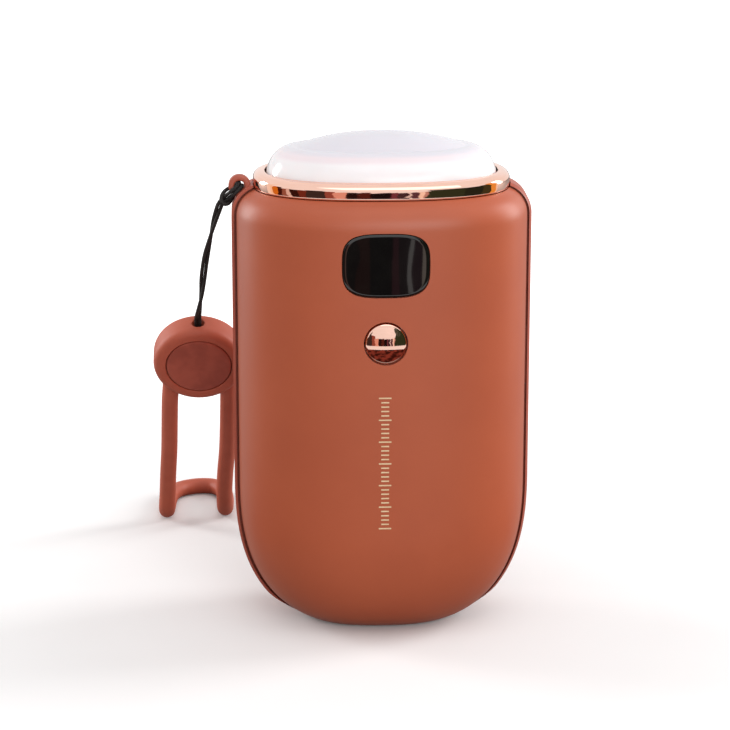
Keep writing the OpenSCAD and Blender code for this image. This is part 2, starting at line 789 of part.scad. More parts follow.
// A tube through the points, which leaves its first end along "start" and its last along "finish"
module tube(points, r, sides, start, finish) {
    last = len(points) - 1;
    w = ways(points, start, finish);
    n = normals(w);
    corners = [for (i = [0 : last]) for (k = [0 : sides - 1]) let (a = 360 * k / sides)
        points[i] + r * (cos(a) * n[i] + sin(a) * cross(w[i], n[i]))];
    skin = [for (i = [0 : last - 1]) for (k = [0 : sides - 1]) let (j = (k + 1) % sides)
        each [[i * sides + k, (i + 1) * sides + k, (i + 1) * sides + j],
              [i * sides + k, (i + 1) * sides + j, i * sides + j]]];
    polyhedron(corners, concat([[for (k = [0 : sides - 1]) k]], skin,
        [[for (k = [sides - 1 : -1 : 0]) last * sides + k]]));
}

// A smooth line through route points, each stretch cut into "steps" parts
function smooth(p, steps) = let (last = len(p) - 1) concat(
    [for (i = [0 : last - 1]) for (s = [0 : steps - 1]) let (
        t = s / steps,
        a = i == 0 ? 2 * p[0] - p[1] : p[i - 1], b = p[i], c = p[i + 1],
        d = i == last - 1 ? 2 * p[last] - p[last - 1] : p[i + 2])
        0.5 * (2 * b + (c - a) * t + (2 * a - 5 * b + 4 * c - d) * t * t
            + (3 * b - a - 3 * c + d) * t * t * t)],
    [p[last]]);

lead_apart = 0.75;                      // half the distance between the two leads of a pair
lead_y = board_front - socket_t / 2;    // depth of the leads in the sockets
function socket_end(at, x) = [at[0] + x, lead_y, at[1] + mouth];

// Two leads side by side, their offset turning from "from" at the first point to "to" at the last
module lead_pair(points, from, to, start, finish) {
    last = len(points) - 1;
    for (s = [-lead_apart, lead_apart])
        tube(smooth([for (i = [0 : last]) points[i] + s * unit(from + (to - from) * i / last)], 2),
            lead_r, 6, start, finish);
}

right = [1, 0, 0];
back = [0, 1, 0];
up = [0, 0, 1];
over_z = (carrier_top + holder_z) / 2;   // height of the leads that cross over the carrier

module port_leads() {
    color([0.8, 0.1, 0.1]) lead_pair([
        [carrier_x + 5.3, port_board_y - port_board_t, port_z + 9], [carrier_x + 5.3, -6, port_z + 9],
        [carrier_x + 3.7, -8.6, port_z + 8.6], [carrier_x + 0.3, -9.4, port_z + 8],
        [carrier_x - 1.7, -10, port_z + 7.8], [carrier_x - 2.3, board_y, port_z + 7.8]],
        up, up, -back, -back);
}

module battery_leads() {
    hole_x = lead_hole[0];
    hole_y = lead_hole[1];
    beside = -2.4 - carrier_x;
    color([0.75, 0.1, 0.1]) {
        tube(smooth([socket_end(battery_socket_at, lead_apart), [-12.4, lead_y, 44], [-12.6, lead_y, 36],
            [-13, -12.4, 28], [-13.4, -9.4, 20], [-13.6, -5.6, 13.6], [-13.4, -2, 11], [-13, 1.6, 10],
            [-12, 4.6, 10.2], [hole_x, hole_y, 12], [hole_x, hole_y, cell_z - tab_t + 0.05]], 2),
            lead_r, 6, -up, up);
        tube(smooth([socket_end(battery_socket_at, -lead_apart), [-13.9, lead_y, 46.4], [-15.2, -14.2, 44.6],
            [beside + 3.1, -14.2, 44.8], [beside + 0.7, -13.8, 47], [beside, -12.8, 51],
            [beside, -12, 60], [beside, -12, over_z - 16], [beside, -11.6, over_z - 8],
            [beside + 0.7, -8.6, over_z - 3], [beside + 4.1, -5.6, over_z - 0.8],
            [-13.4, -1.5, over_z], [-11.6, 3.5, over_z - 0.2],
            [hole_x, hole_y, carrier_top + 0.9],
            [hole_x, hole_y, cell_z + cell_l + tab_t - 0.05]], 2),
            lead_r, 6, -up, -up);
    }
}

module lamp_leads() {
    color([0.85, 0.85, 0.85]) lead_pair([[0, board_y, board_top - 5], [0, -9.6, board_top - 4.8],
        [0, -7, over_z], [0, -2, over_z], [0, 2.6, over_z + 0.2],
        [0, 4.7, over_z + 1.2], [0, lamp_lead_y, holder_z + 0.2], [0, lamp_lead_y, flange_z]],
        right, right, back, up);
}

module front_heater_leads() {
    x = front_socket_at[0];
    top = front_socket_at[1];
    color([0.9, 0.75, 0.2]) lead_pair([socket_end(front_socket_at, 0), [x, lead_y, top - 1],
        [x, lead_y - 0.8, top - 2.6], [x, -17, top - 3.8], [x, -film_back + 0.07, top - 4]],
        right, right, -up, -back);
}

// Depth of the rear heater film's inner face at x
function film_y(x) = straight_y(x, film_in + film_t);

module rear_heater_leads() {
    x = rear_socket_at[0];
    color([0.9, 0.75, 0.2]) lead_pair([socket_end(rear_socket_at, 0), [x, lead_y, 52], [x, lead_y, 42],
        [14.4, -13, plate_z + 6], [16.6, -11, plate_z], [19.6, -8, plate_z - 4.4],
        [carrier_x + 2.9, -3.6, plate_z - 7.2], [carrier_x + 3.1, cell_y - 3.4, plate_z - 8],
        [carrier_x + 1.9, cell_y + 3, plate_z - 8.4],
        [17.6, film_y(17.6) - 1.6, plate_z - 7], [13.8, film_y(13.8) - 1, plate_z - 3],
        [11.2, film_y(11.2) - 1, plate_z + 2], [10.2, film_y(10.2) - 0.9, plate_z + 5],
        [10, film_y(10) - 0.16, plate_z + 5.4]], right, right + up, -up, back);
}

// Screws that join the carrier to the front shell and to the side frame

module shell_screws() {
    color("silver") post_place(-post_apart) translate([0, lug_t - lug_y, 0]) rotate([-90, 0, 0])
        screw(lug_t + pilot_l - 0.6, pilot_r - 0.02);
}

module frame_screws() {
    color("silver") for (x = [-frame_screw_x, frame_screw_x])
        translate([x, 0, base_z + screw_head_h]) rotate([180, 0, 0]) screw(7.6, screw_r);
}

// Strap: hitch in the eyelet, twisted pair of strands, round button with its cap, wrist loop

pull = unit([-0.733, 0, -0.68]);        // way that the hitch leads away from the eyelet
strand_r = strand_d / 2;
hitch_in = 1.3;                         // where the strands turn into the eyelet's hole
hitch_apart = 1.1;                      // the hitch's strands lie this many radii beside its middle
hitch_off = 0.15;                       // gap between the strands and the eyelet's faces
knot_from = eyelet_r + 0.1;
knot_l = 2.2;
knot_half = 1;                          // half thickness of the flattened knot
eyelet_at = [eyelet_x, 0, eyelet_z];
strap_black = [0.06, 0.06, 0.06];

module cord_hitch() {
    bend = eyelet_t / 2 + hitch_off + strand_r;
    color(strap_black) translate(eyelet_at) rotate([0, atan2(-pull[2], pull[0]), 0]) {
        for (z = [-hitch_apart, hitch_apart]) translate([hitch_in, 0, z * strand_r]) {
            rotate([0, 0, 90]) rotate_extrude(angle = 180) translate([bend, 0]) circle(r = strand_r);
            for (y = [-bend, bend]) translate([-e, y, 0]) rotate([0, 90, 0])
                cylinder(r = strand_r, h = knot_from - hitch_in + 0.5);
        }
        intersection() {
            translate([knot_from, 0, 0]) rotate([0, 90, 0]) cylinder(r = bend + strand_r, h = knot_l);
            block([0, -body_d, -knot_half], [knot_from + knot_l, body_d, knot_half]);
        }
    }
}

puck_at = [-41.2, 45.5, 48.5];
puck_lean = 26;
puck_up = [0, -sin(puck_lean), cos(puck_lean)];
cord_hole = 4;                          // depth of the cord's hole in the button's rim
leg_hole = 3;                           // depth of the wrist loop's holes
leg_x = 6.9;

// Middle line of the cord, from the knot to its hole in the button
cord_route = [eyelet_at + (knot_from + knot_l) * pull, [-35.1, 0.6, 95], [-35.6, 2.6, 93.4], [-36.6, 6, 89.8],
    [-37.6, 10.5, 85.2], [-38.5, 15.5, 80.6], [-39.1, 20, 76.6], [-39.6, 24.5, 72.4], [-40, 28.5, 68.4],
    [-40.5, 32.5, 64.8], [-40.9, 36, 62], [-41.1, 38.6, 60.4], puck_at + (puck_r + 1) * puck_up,
    puck_at + (puck_r - cord_hole) * puck_up];
cord_twist = [0, 10, 25, 65, 115, 160, 180, 205, 250, 290, 320, 340, 360, 360];

// One strand beside the middle line, turned round it by cord_twist
function strand(s) = let (w = ways(cord_route, pull, -puck_up)) [for (i = [0 : len(w) - 1])
    let (a = square_to(w[i], right), b = cross(w[i], a), t = cord_twist[i])
    cord_route[i] + s * (strand_r + 0.03) * (cos(t) * a + sin(t) * b)];

module cord_strand_left() {
    color(strap_black) tube(smooth(strand(-1), 2), strand_r, 8, pull, -puck_up);
}

module cord_strand_right() {
    color(strap_black) tube(smooth(strand(1), 2), strand_r, 8, pull, -puck_up);
}

// Puts its children in the button's own frame, where its face looks along +Z and +Y leads up the button
module puck_frame() {
    translate(puck_at) rotate([90 + puck_lean, 0, 0]) children();
}

cord_hole_r = 1.5;
cap_t = 1.2;                            // depth of the cap's seat
edge_r = 1.8;                           // rounding of the button's edges
leg_top = sqrt(puck_r * puck_r - leg_x * leg_x) - leg_hole;

module strap_puck() {
    half = puck_t / 2;
    color([0.68, 0.34, 0.25]) puck_frame() difference() {
        rotate_extrude() polygon(concat([[0, -half]],
            [for (a = [-90 : 15 : 0]) [puck_r - edge_r + edge_r * cos(a), -half + edge_r + edge_r * sin(a)]],
            [for (a = [0 : 15 : 90]) [puck_r - edge_r + edge_r * cos(a), half - edge_r + edge_r * sin(a)]],
            [[0, half]]));
        translate([0, 0, half - cap_t]) cylinder(r = puck_cap_r + 0.2, h = cap_t + 1);
        translate([0, puck_r - cord_hole, 0]) rotate([-90, 0, 0])
            cylinder(r = cord_hole_r, h = cord_hole + 1);
        for (x = [-leg_x, leg_x]) translate([x, -leg_top, 0]) rotate([90, 0, 0])
            cylinder(r = loop_d / 2 + fit, h = puck_r);
    }
}

module puck_cap() {
    color([0.66, 0.33, 0.25]) puck_frame() translate([0, 0, puck_t / 2 - cap_t])
        cylinder(r = puck_cap_r, h = cap_t + 0.05);
}

// Middle line of the wrist loop: down the left leg, back along the surface and up the right leg
loop_z = loop_d / 2 + 0.05;
function leg(x, far) = puck_at + [x, 0, 0] - far * puck_up;
loop_route = concat(
    [leg(-leg_x, leg_top), leg(-leg_x, leg_top + 3), leg(-leg_x - 0.4, 14), leg(-leg_x - 0.7, 22),
     leg(-leg_x - 1, 30), leg(-leg_x - 1.5, 38), leg(-leg_x - 1.8, 44)],
    [[-50.2, 66.6, 4.6], [-50.3, 69.4, 2.5], [-50.2, 73, loop_z], [-50, 78, loop_z], [-49.4, 83, loop_z],
     [-47.4, 87.4, loop_z], [-43.2, 89.8, loop_z], [-38.8, 89.2, loop_z], [-36.2, 84.6, loop_z],
     [-35.6, 79, loop_z], [-35.6, 74, loop_z], [-35.7, 70.4, 2.5], [-35.8, 67.4, 4.8]],
    [leg(leg_x - 1.5, 44), leg(leg_x - 1.2, 38), leg(leg_x - 0.6, 30), leg(leg_x - 0.3, 22),
     leg(leg_x - 0.1, 14), leg(leg_x, leg_top + 3), leg(leg_x, leg_top)]);

module wrist_loop() {
    color([0.7, 0.36, 0.27]) tube(loop_route, loop_d / 2, 10, -puck_up, puck_up);
}

front_shell();
rear_shell();
side_frame();
base_pad();
lamp_ring();
lamp_cover();
lamp_board();
lamp_leds();
lamp_holder();
lamp_screws();
display_window();
display_gasket();
display_module();
power_button();
switch_plunger();
tact_switch();
main_board();
controller_chips();
power_inductor();
battery_socket();
heater_sockets();
board_screws();
port_board();
usb_a_port();
usb_c_port();
port_leads();
inner_carrier();
battery_cell_left();
battery_cell_right();
battery_tab_top();
battery_tab_bottom();
front_heat_plate();
front_heater_film();
rear_heat_plate();
rear_heater_film();
thermal_sensor();
battery_leads();
lamp_leads();
front_heater_leads();
rear_heater_leads();
shell_screws();
frame_screws();
cord_hitch();
cord_strand_left();
cord_strand_right();
strap_puck();
puck_cap();
wrist_loop();
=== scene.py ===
import math
import bmesh
import bpy
from mathutils import Matrix, Vector


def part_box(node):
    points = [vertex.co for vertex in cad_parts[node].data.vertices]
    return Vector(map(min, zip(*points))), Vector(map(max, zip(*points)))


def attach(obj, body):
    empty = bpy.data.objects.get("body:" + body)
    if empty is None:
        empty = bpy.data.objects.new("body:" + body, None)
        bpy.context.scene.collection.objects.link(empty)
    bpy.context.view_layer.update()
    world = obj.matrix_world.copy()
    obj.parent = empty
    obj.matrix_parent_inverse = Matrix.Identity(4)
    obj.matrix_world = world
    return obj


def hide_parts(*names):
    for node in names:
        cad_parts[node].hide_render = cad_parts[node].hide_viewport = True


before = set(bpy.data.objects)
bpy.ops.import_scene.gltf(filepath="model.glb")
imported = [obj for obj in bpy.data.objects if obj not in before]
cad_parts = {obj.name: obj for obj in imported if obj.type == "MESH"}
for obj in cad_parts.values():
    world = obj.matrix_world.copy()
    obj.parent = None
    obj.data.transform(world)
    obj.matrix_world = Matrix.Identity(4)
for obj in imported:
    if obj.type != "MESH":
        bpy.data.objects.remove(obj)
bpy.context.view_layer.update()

# Every piece is modelled in millimetres and brought to metres when it is finished
mm = 0.001
scene = bpy.context.scene
scene.view_settings.view_transform = "Standard"


# Camera at the photograph's angle

camera = {
    "distance": 0.600,
    "azimuth": -2.5,
    "elevation": 15.2,
    "target": Vector((-3.53, 0, 58.4)) * mm,
    "lens": 133.3,
    "sensor": 36,
}


def sceneObject(name, data):
    thing = bpy.data.objects.new(name, data)
    scene.collection.objects.link(thing)
    return thing


def aimed(name, data, place, target):
    thing = sceneObject(name, data)
    thing.location = place
    thing.rotation_euler = (target - place).to_track_quat("-Z", "Y").to_euler()
    return thing


def around(azimuth, elevation, distance, target):
    a, e = math.radians(azimuth), math.radians(elevation)
    return target + distance * Vector((math.sin(a) * math.cos(e), -math.cos(a) * math.cos(e), math.sin(e)))


def makeCamera():
    data = bpy.data.cameras.new("camera")
    data.lens = camera["lens"]
    data.sensor_width = camera["sensor"]
    place = around(camera["azimuth"], camera["elevation"], camera["distance"], camera["target"])
    scene.camera = aimed("camera", data, place, camera["target"])


makeCamera()
print("camera placed")


# Mesh helpers

weldGap = 0.0005


def meshFrom(name, bm):
    mesh = bpy.data.meshes.new(name)
    bm.to_mesh(mesh)
    bm.free()
    return mesh


def finished(name, bm, material, replaced=(), body="housing", sharp=35):
    bmesh.ops.scale(bm, vec=(mm, mm, mm), verts=bm.verts)
    for face in bm.faces:
        face.smooth = True
    mesh = meshFrom(name, bm)
    mesh.set_sharp_from_angle(angle=math.radians(sharp))
    mesh.materials.append(material)
    piece = sceneObject(name, mesh)
    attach(piece, body)
    if replaced:
        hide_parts(*replaced)
    return piece


def softEdges(piece, width):
    rounding = piece.modifiers.new("softEdges", "BEVEL")
    rounding.width = width * mm
    rounding.segments = 3
    rounding.limit_method = "ANGLE"
    rounding.angle_limit = math.radians(50)
    rounding.harden_normals = True


def walled(piece, thickness):
    wall = piece.modifiers.new("wall", "SOLIDIFY")
    wall.thickness = thickness * mm
    wall.offset = -1
    wall.use_even_offset = True


def vertsOf(grown):
    return [item for item in grown if isinstance(item, bmesh.types.BMVert)]


def edgesOf(grown):
    return [item for item in grown if isinstance(item, bmesh.types.BMEdge)]


def edgesWithin(bm, verts):
    inside = set(verts)
    return [edge for edge in bm.edges if edge.verts[0] in inside and edge.verts[1] in inside]


def ringOf(bm, points):
    verts = bmesh.ops.create_circle(bm, segments=len(points), radius=1)["verts"]
    for vert, point in zip(verts, points):
        vert.co = point
    return edgesWithin(bm, verts)


def grownRing(bm, edges, before, after):
    grown = bmesh.ops.extrude_edge_only(bm, edges=edges)["geom"]
    placeOf = {tuple(round(c, 4) for c in old): new for old, new in zip(before, after)}
    for vert in vertsOf(grown):
        vert.co = placeOf[tuple(round(c, 4) for c in vert.co)]
    return edgesOf(grown)


# A closed loft joins its last ring to its first, any other has both ends capped
def loftOf(rings, closed=False):
    bm = bmesh.new()
    first = edges = ringOf(bm, rings[0])
    for before, after in zip(rings, rings[1:]):
        edges = grownRing(bm, edges, before, after)
    if closed:
        grownRing(bm, edges, rings[-1], rings[0])
        bmesh.ops.remove_doubles(bm, verts=bm.verts, dist=weldGap)
    else:
        bmesh.ops.contextual_create(bm, geom=first)
        bmesh.ops.contextual_create(bm, geom=edges)
    bmesh.ops.recalc_face_normals(bm, faces=bm.faces)
    return bm


def opening(bm, inside, nearby, rings):
    away = [face for face in bm.faces if any(inside(vert.co) for vert in face.verts)]
    bmesh.ops.delete(bm, geom=away, context="FACES")
    edge = [e for e in bm.edges if e.is_boundary and all(nearby(v.co) for v in e.verts)]
    ring = ringOf(bm, rings[0])
    bmesh.ops.bridge_loops(bm, edges=edge + ring)
    for before, after in zip(rings, rings[1:]):
        ring = grownRing(bm, ring, before, after)
    return ring


def spunPiece(profile, steps, matrix):
    bm = bmesh.new()
    chain = [bm.verts.new((radius, 0, height)) for radius, height in profile]
    edges = [bm.edges.new(pair) for pair in zip(chain, chain[1:])]
    bmesh.ops.spin(bm, geom=chain + edges, cent=(0, 0, 0), axis=(0, 0, 1), angle=2 * math.pi, steps=steps,
                   use_merge=True)
    bmesh.ops.remove_doubles(bm, verts=bm.verts, dist=weldGap)
    bmesh.ops.recalc_face_normals(bm, faces=bm.faces)
    bmesh.ops.transform(bm, matrix=matrix, space=Matrix(), verts=bm.verts)
    return bm


# Turns a piece that is spun round Z so that it stands on end, facing the front
def standing(place, tilt=90):
    return Matrix.Translation(place) @ Matrix.Rotation(math.radians(tilt), 4, "X")


def arcOf(centre, radius, start, stop, steps):
    turns = [math.radians(start + (stop - start) * i / steps) for i in range(steps + 1)]
    return [(centre[0] + radius * math.cos(t), centre[1] + radius * math.sin(t)) for t in turns]


def smoothLine(points, steps):
    line = []
    last = len(points) - 1
    for i in range(last):
        a = points[i - 1] if i else 2 * points[0] - points[1]
        b = points[i]
        c = points[i + 1]
        d = points[i + 2] if i < last - 1 else 2 * points[last] - points[last - 1]
        for s in range(steps):
            t = s / steps
            line.append(0.5 * (2 * b + (c - a) * t + (2 * a - 5 * b + 4 * c - d) * t * t
                               + (3 * b - a - 3 * c + d) * t * t * t))
    return line + [points[last]]


def waysAlong(line, first=None, last=None):
    end = len(line) - 1
    ways = [(line[min(i + 1, end)] - line[max(i - 1, 0)]).normalized() for i in range(end + 1)]
    ways[0] = first or ways[0]
    ways[-1] = last or ways[-1]
    return ways


def framesAlong(line, first=None, last=None):
    side = Vector((0.6, 0.55, 0.4))
    frames = []
    for point, way in zip(line, waysAlong(line, first, last)):
        side = (side - side.dot(way) * way).normalized()
        across = way.cross(side)
        turn = Matrix((side, across, way)).transposed().to_4x4()
        frames.append(Matrix.Translation(point) @ turn)
    return frames


# A round tube whose UV map runs once round it and one tile length along it
def sweptTube(line, radius, sides, first=None, last=None, tile=1.0):
    bm = bmesh.new()
    uvs = bm.loops.layers.uv.verify()
    frames = framesAlong(line, first, last)
    ring = bmesh.ops.create_circle(bm, cap_ends=True, segments=sides, radius=radius, matrix=frames[0])["verts"]
    edges = edgesWithin(bm, ring)
    placeOf = {v: (0, 0.0) for v in ring}
    far = 0.0
    for i in range(1, len(frames)):
        grown = bmesh.ops.extrude_edge_only(bm, edges=edges)["geom"]
        ring = vertsOf(grown)
        edges = edgesOf(grown)
        bmesh.ops.transform(bm, matrix=frames[i] @ frames[i - 1].inverted(), space=Matrix(), verts=ring)
        far += (line[i] - line[i - 1]).length
        placeOf.update({v: (i, far) for v in ring})
    bmesh.ops.contextual_create(bm, geom=edges)
    for face in bm.faces:
        turns = []
        for loop in face.loops:
            local = frames[placeOf[loop.vert][0]].inverted() @ loop.vert.co
            turns.append(math.atan2(local.y, local.x) / (2 * math.pi))
        for loop, turn in zip(face.loops, turns):
            turn += 1 if turns[0] - turn > 0.5 else -1 if turn - turns[0] > 0.5 else 0
            loop[uvs].uv = (turn, placeOf[loop.vert][1] / tile)
    bmesh.ops.recalc_face_normals(bm, faces=bm.faces)
    return bm


# Cords first: hitch in the eyelet, twisted pair of strands, silicone loop

strap = {
    "eyelet": Vector((-30.9, 0, 99.3)),
    "pull": Vector((-0.733, 0, -0.68)).normalized(),
    "strandRadius": 0.425,
    "strandApart": 0.004,
    "strandSides": 16,
    "strandSteps": 8,
    "knotEnd": 4.7,
    "button": Vector((-41.2, 45.5, 48.5)),
    "lean": 26,
    "buttonRadius": 10.8,
    "buttonThick": 7.2,
    "edgeRound": 1.8,
    "cordHoleDeep": 4,
    "cordHoleRadius": 1.5,
    "capRadius": 7.7,
    "capSeatRadius": 7.9,
    "capDeep": 1.2,
    "legOut": 6.9,
    "legHole": 3,
    "loopRadius": 2,
    "loopSides": 32,
    "loopSteps": 6,
    "loopTile": 10,
    "loopLow": 2.05,
}
lean = math.radians(strap["lean"])
strapUp = Vector((0, -math.sin(lean), math.cos(lean)))
strapFace = Vector((0, -math.cos(lean), -math.sin(lean)))
legTop = math.sqrt(strap["buttonRadius"] ** 2 - strap["legOut"] ** 2) - strap["legHole"]

cordRoute = [
    strap["eyelet"] + strap["knotEnd"] * strap["pull"], (-35.1, 0.6, 95), (-35.6, 2.6, 93.4), (-36.6, 6, 89.8),
    (-37.6, 10.5, 85.2), (-38.5, 15.5, 80.6), (-39.1, 20, 76.6), (-39.6, 24.5, 72.4), (-40, 28.5, 68.4),
    (-40.5, 32.5, 64.8), (-40.9, 36, 62), (-41.1, 38.6, 60.4),
    strap["button"] + (strap["buttonRadius"] + 1) * strapUp,
    strap["button"] + (strap["buttonRadius"] - strap["cordHoleDeep"]) * strapUp,
]
cordTwist = [0, 10, 25, 65, 115, 160, 180, 205, 250, 290, 320, 340, 360, 360]


def leg(x, far):
    return strap["button"] + Vector((x, 0, 0)) - far * strapUp


low = strap["loopLow"]
out = strap["legOut"]
loopRoute = [
    leg(-out, legTop), leg(-out, legTop + 3), leg(-out - 0.4, 14), leg(-out - 0.7, 22), leg(-out - 1, 30),
    leg(-out - 1.5, 38), leg(-out - 1.8, 44), (-50.2, 66.6, 4.6), (-50.3, 69.4, 2.5), (-50.2, 73, low),
    (-50, 78, low), (-49.4, 83, low), (-47.4, 87.4, low), (-43.2, 89.8, low), (-38.8, 89.2, low),
    (-36.2, 84.6, low), (-35.6, 79, low), (-35.6, 74, low), (-35.7, 70.4, 2.5), (-35.8, 67.4, 4.8),
    leg(out - 1.5, 44), leg(out - 1.2, 38), leg(out - 0.6, 30), leg(out - 0.3, 22), leg(out - 0.1, 14),
    leg(out, legTop + 3), leg(out, legTop),
]


def strandLine(side):
    route = [Vector(p) for p in cordRoute]
    beside = []
    for point, way, twist in zip(route, waysAlong(route, strap["pull"], -strapUp), cordTwist):
        right = Vector((1, 0, 0))
        right = (right - right.dot(way) * way).normalized()
        turned = math.cos(math.radians(twist)) * right + math.sin(math.radians(twist)) * way.cross(right)
        beside.append(point + side * (strap["strandRadius"] + strap["strandApart"]) * turned)
    return smoothLine(beside, strap["strandSteps"])


def makeStrand(name, node, side, material):
    line = strandLine(side)
    bm = sweptTube(line, strap["strandRadius"], strap["strandSides"], strap["pull"], -strapUp)
    piece = finished(name, bm, material, [node])


def makeLoop(material):
    line = smoothLine([Vector(p) for p in loopRoute], strap["loopSteps"])
    bm = sweptTube(line, strap["loopRadius"], strap["loopSides"], -strapUp, strapUp, strap["loopTile"])
    piece = finished("wristLoop", bm, material, ["wrist_loop"])


# Cow hitch: both strands go through the eyelet and down under the bight
# Its bow is laid round their lower end

hitch = {
    "apart": 0.44,
    "turnRadius": 1.675,
    "turnAt": 1.3,
    "steps": 5,
    "joinFrom": 4,  # from here on along the pull, the halves lie as close as the strands
    "face": [(4.7, 0), (4.3, -0.2), (3.7, -0.75), (3, -1.25), (2.3, -1.6)],  # along the pull, depth
    "bow": [
        # along the pull, across it, depth behind the eyelet's middle
        (2.3, 0.8, 1.55), (2.75, 1.02, 1), (3.4, 1.16, 0.25), (4.2, 1.04, -0.5), (4.85, 0.62, -1.05),
        (5.2, -0.1, -1.25), (5.05, -0.78, -1.1), (4.5, -1.2, -0.6), (3.8, -1.24, 0.1), (3.1, -1.06, 0.8),
        (2.5, -0.8, 1.45),
    ],
}


def hitchPoint(u, w, y):
    across = Vector((strap["pull"].z, 0, -strap["pull"].x))
    return strap["eyelet"] + u * strap["pull"] + w * across + Vector((0, y, 0))


def hitchHalf(side):
    close, wide = strap["strandRadius"] + strap["strandApart"], hitch["apart"]
    face = [(u, side * (close if u > hitch["joinFrom"] else wide), y) for u, y in hitch["face"]]
    turn = arcOf((0, hitch["turnAt"]), hitch["turnRadius"], -180, 0, 6)
    return face + [(u, side * wide, y) for y, u in turn]


def makeHitch(material):
    points = hitchHalf(1) + hitch["bow"] + hitchHalf(-1)[::-1]
    bm = sweptTube(smoothLine([hitchPoint(*p) for p in points], hitch["steps"]), strap["strandRadius"],
                   strap["strandSides"])
    return finished("cordHitch", bm, material, ["cord_hitch"])


# Sizes of the body, taken from the frame's own boxes, in millimetres

def boxOf(node):
    low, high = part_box(node)
    return Vector(low) / mm, Vector(high) / mm


bandProud = 0.85  # how far the side frame stands out from the shells
frameHigh = boxOf("side_frame")[1]
shellLow, shellHigh = boxOf("front_shell")
body = {
    "frameHalf": frameHigh.x,
    "frameDeep": frameHigh.y,
    "shellHalf": frameHigh.x - bandProud,
    "shellDeep": -shellLow.y,
    "baseZ": shellLow.z,
    "rimZ": shellHigh.z,
    "edgeY": -shellHigh.y,
    "wall": 1.8,
    "power": 2.4,
    "shoulder": 6.2,
    "shoulderPart": 0.935,  # of the shoulder's radius, where the rim cuts it off
    "frameShoulder": 6.2 + bandProud,
    "frameThick": 2.6,
    "lip": 0.55,
    "grooveDeep": 0.9,
    "lipRise": 7,  # the band sinks flush with the shells over this height at its lower ends
    "sideMid": 34.5, "sideDrop": 36.15, "sidePower": 2.6,
    "faceMid": 26, "faceDrop": 27.3, "facePower": 2.3,
    "columns": 132,
    "edgeSoft": 0.28,
    "holeSteps": (0.75, 0.3, 0),  # outward from a hole's edge
    "cleared": 1.1,
}
body["shoulderRise"] = body["shoulderPart"] * body["shoulder"]
body["shoulderZ"] = body["rimZ"] - body["shoulderRise"]


def shoulderIn(z, radius):
    over = max(0, z - body["shoulderZ"])
    return radius - math.sqrt(max(0, radius * radius - over * over))


# Half the width at a height: straight above mid, a rounded curve below it, and the shoulder's arc at the top
def halfAt(z, half, mid, drop, power, shoulder):
    lower = half if z >= mid else half * (1 - ((mid - z) / drop) ** power) ** (1 / power)
    return lower - shoulderIn(z, shoulder)


def sideX(z, inset=0):
    return halfAt(z, body["shellHalf"] - inset, body["sideMid"], body["sideDrop"] - inset, body["sidePower"],
                  body["shoulder"] - inset)


def faceY(z, inset=0):
    return halfAt(z, body["shellDeep"] - inset, body["faceMid"], body["faceDrop"] - inset, body["facePower"],
                  body["shoulder"] - inset)


def frameX(z):
    return halfAt(z, body["frameHalf"], body["sideMid"], body["sideDrop"] + bandProud, body["sidePower"],
                  body["frameShoulder"])


def planPoint(turn, a, b, power):
    c, s = math.cos(turn), math.sin(turn)
    return math.copysign(a * abs(c) ** (2 / power), c), math.copysign(b * abs(s) ** (2 / power), s)


# Turns that give evenly spaced points on a rounded oblong
def evenTurns(count, a, b, power, start=0.0, stop=2 * math.pi):
    fine = [start + (stop - start) * i / 4000 for i in range(4001)]
    points = [planPoint(t, a, b, power) for t in fine]
    far = [0.0]
    for p, q in zip(points, points[1:]):
        far.append(far[-1] + math.dist(p, q))
    turns, k = [], 0
    for i in range(count):
        goal = far[-1] * i / count
        while far[k + 1] < goal:
            k += 1
        turns.append(fine[k] + (fine[k + 1] - fine[k]) * (goal - far[k]) / max(1e-9, far[k + 1] - far[k]))
    return turns


rimX = sideX(body["rimZ"])
rimY = faceY(body["rimZ"])


# A closed piece made of level rings (a, b, z) with the body's rounded oblong plan
def oblongLoft(sections, count, closed=False):
    power = body["power"]
    turns = evenTurns(count, rimX, rimY, power)
    return loftOf([[Vector((*planPoint(t, a, b, power), z)) for t in turns] for a, b, z in sections], closed)


def level(inset, z):
    return rimX - inset, rimY - inset, z


# Half shells: a grid laid on the body's form, with a wall added inwards

def frontY(x, z, inset=0):
    a = sideX(z, inset)
    return -faceY(z, inset) * (1 - min(1, abs(x) / a) ** body["power"]) ** (1 / body["power"])


def heightsUp(curveSteps, straightSteps):
    low, mid, top = body["baseZ"], body["sideMid"], body["shoulderZ"]
    curve = [low + (mid - low) * (1 - math.cos(math.radians(90 * i / curveSteps))) for i in range(curveSteps)]
    return curve + [mid + (top - mid) * i / straightSteps for i in range(straightSteps)]


def shellHeights():
    return heightsUp(44, 74) + [body["shoulderZ"] + body["shoulderRise"] * math.sin(math.radians(90 * i / 14))
                                for i in range(15)]


window = {
    "half": Vector((9.4, 0, 7)),
    "z": 86,
    "power": 3.4,
    "count": 104,
    "joined": 3.2,
    "lensCount": 112,
    "lensGap": 0.15,
    "lensIn": 0.07,
    "lensEdge": [(0, 0.95), (0, 0.16), (0.05, 0.06), (0.16, 0)],  # inset, depth
    "lensRings": (0.93, 0.85, 0.75, 0.62, 0.5, 0.38, 0.25, 0.12, 0.03),
}
button = {
    "z": 69,
    "hole": 4.75,
    "count": 56,
    "joined": 3,
    "radius": 4.4,
    "out": 0.9,
    "dome": 0.9,
    "flangeGap": 0.3,
    "flangeThick": 0.8,
    "stem": 1.5,
}


def windowPoint(turn, grow, inset=0):
    x, z = planPoint(turn, window["half"].x + grow, window["half"].z + grow, window["power"])
    return Vector((x, frontY(x, window["z"] + z, inset), window["z"] + z))


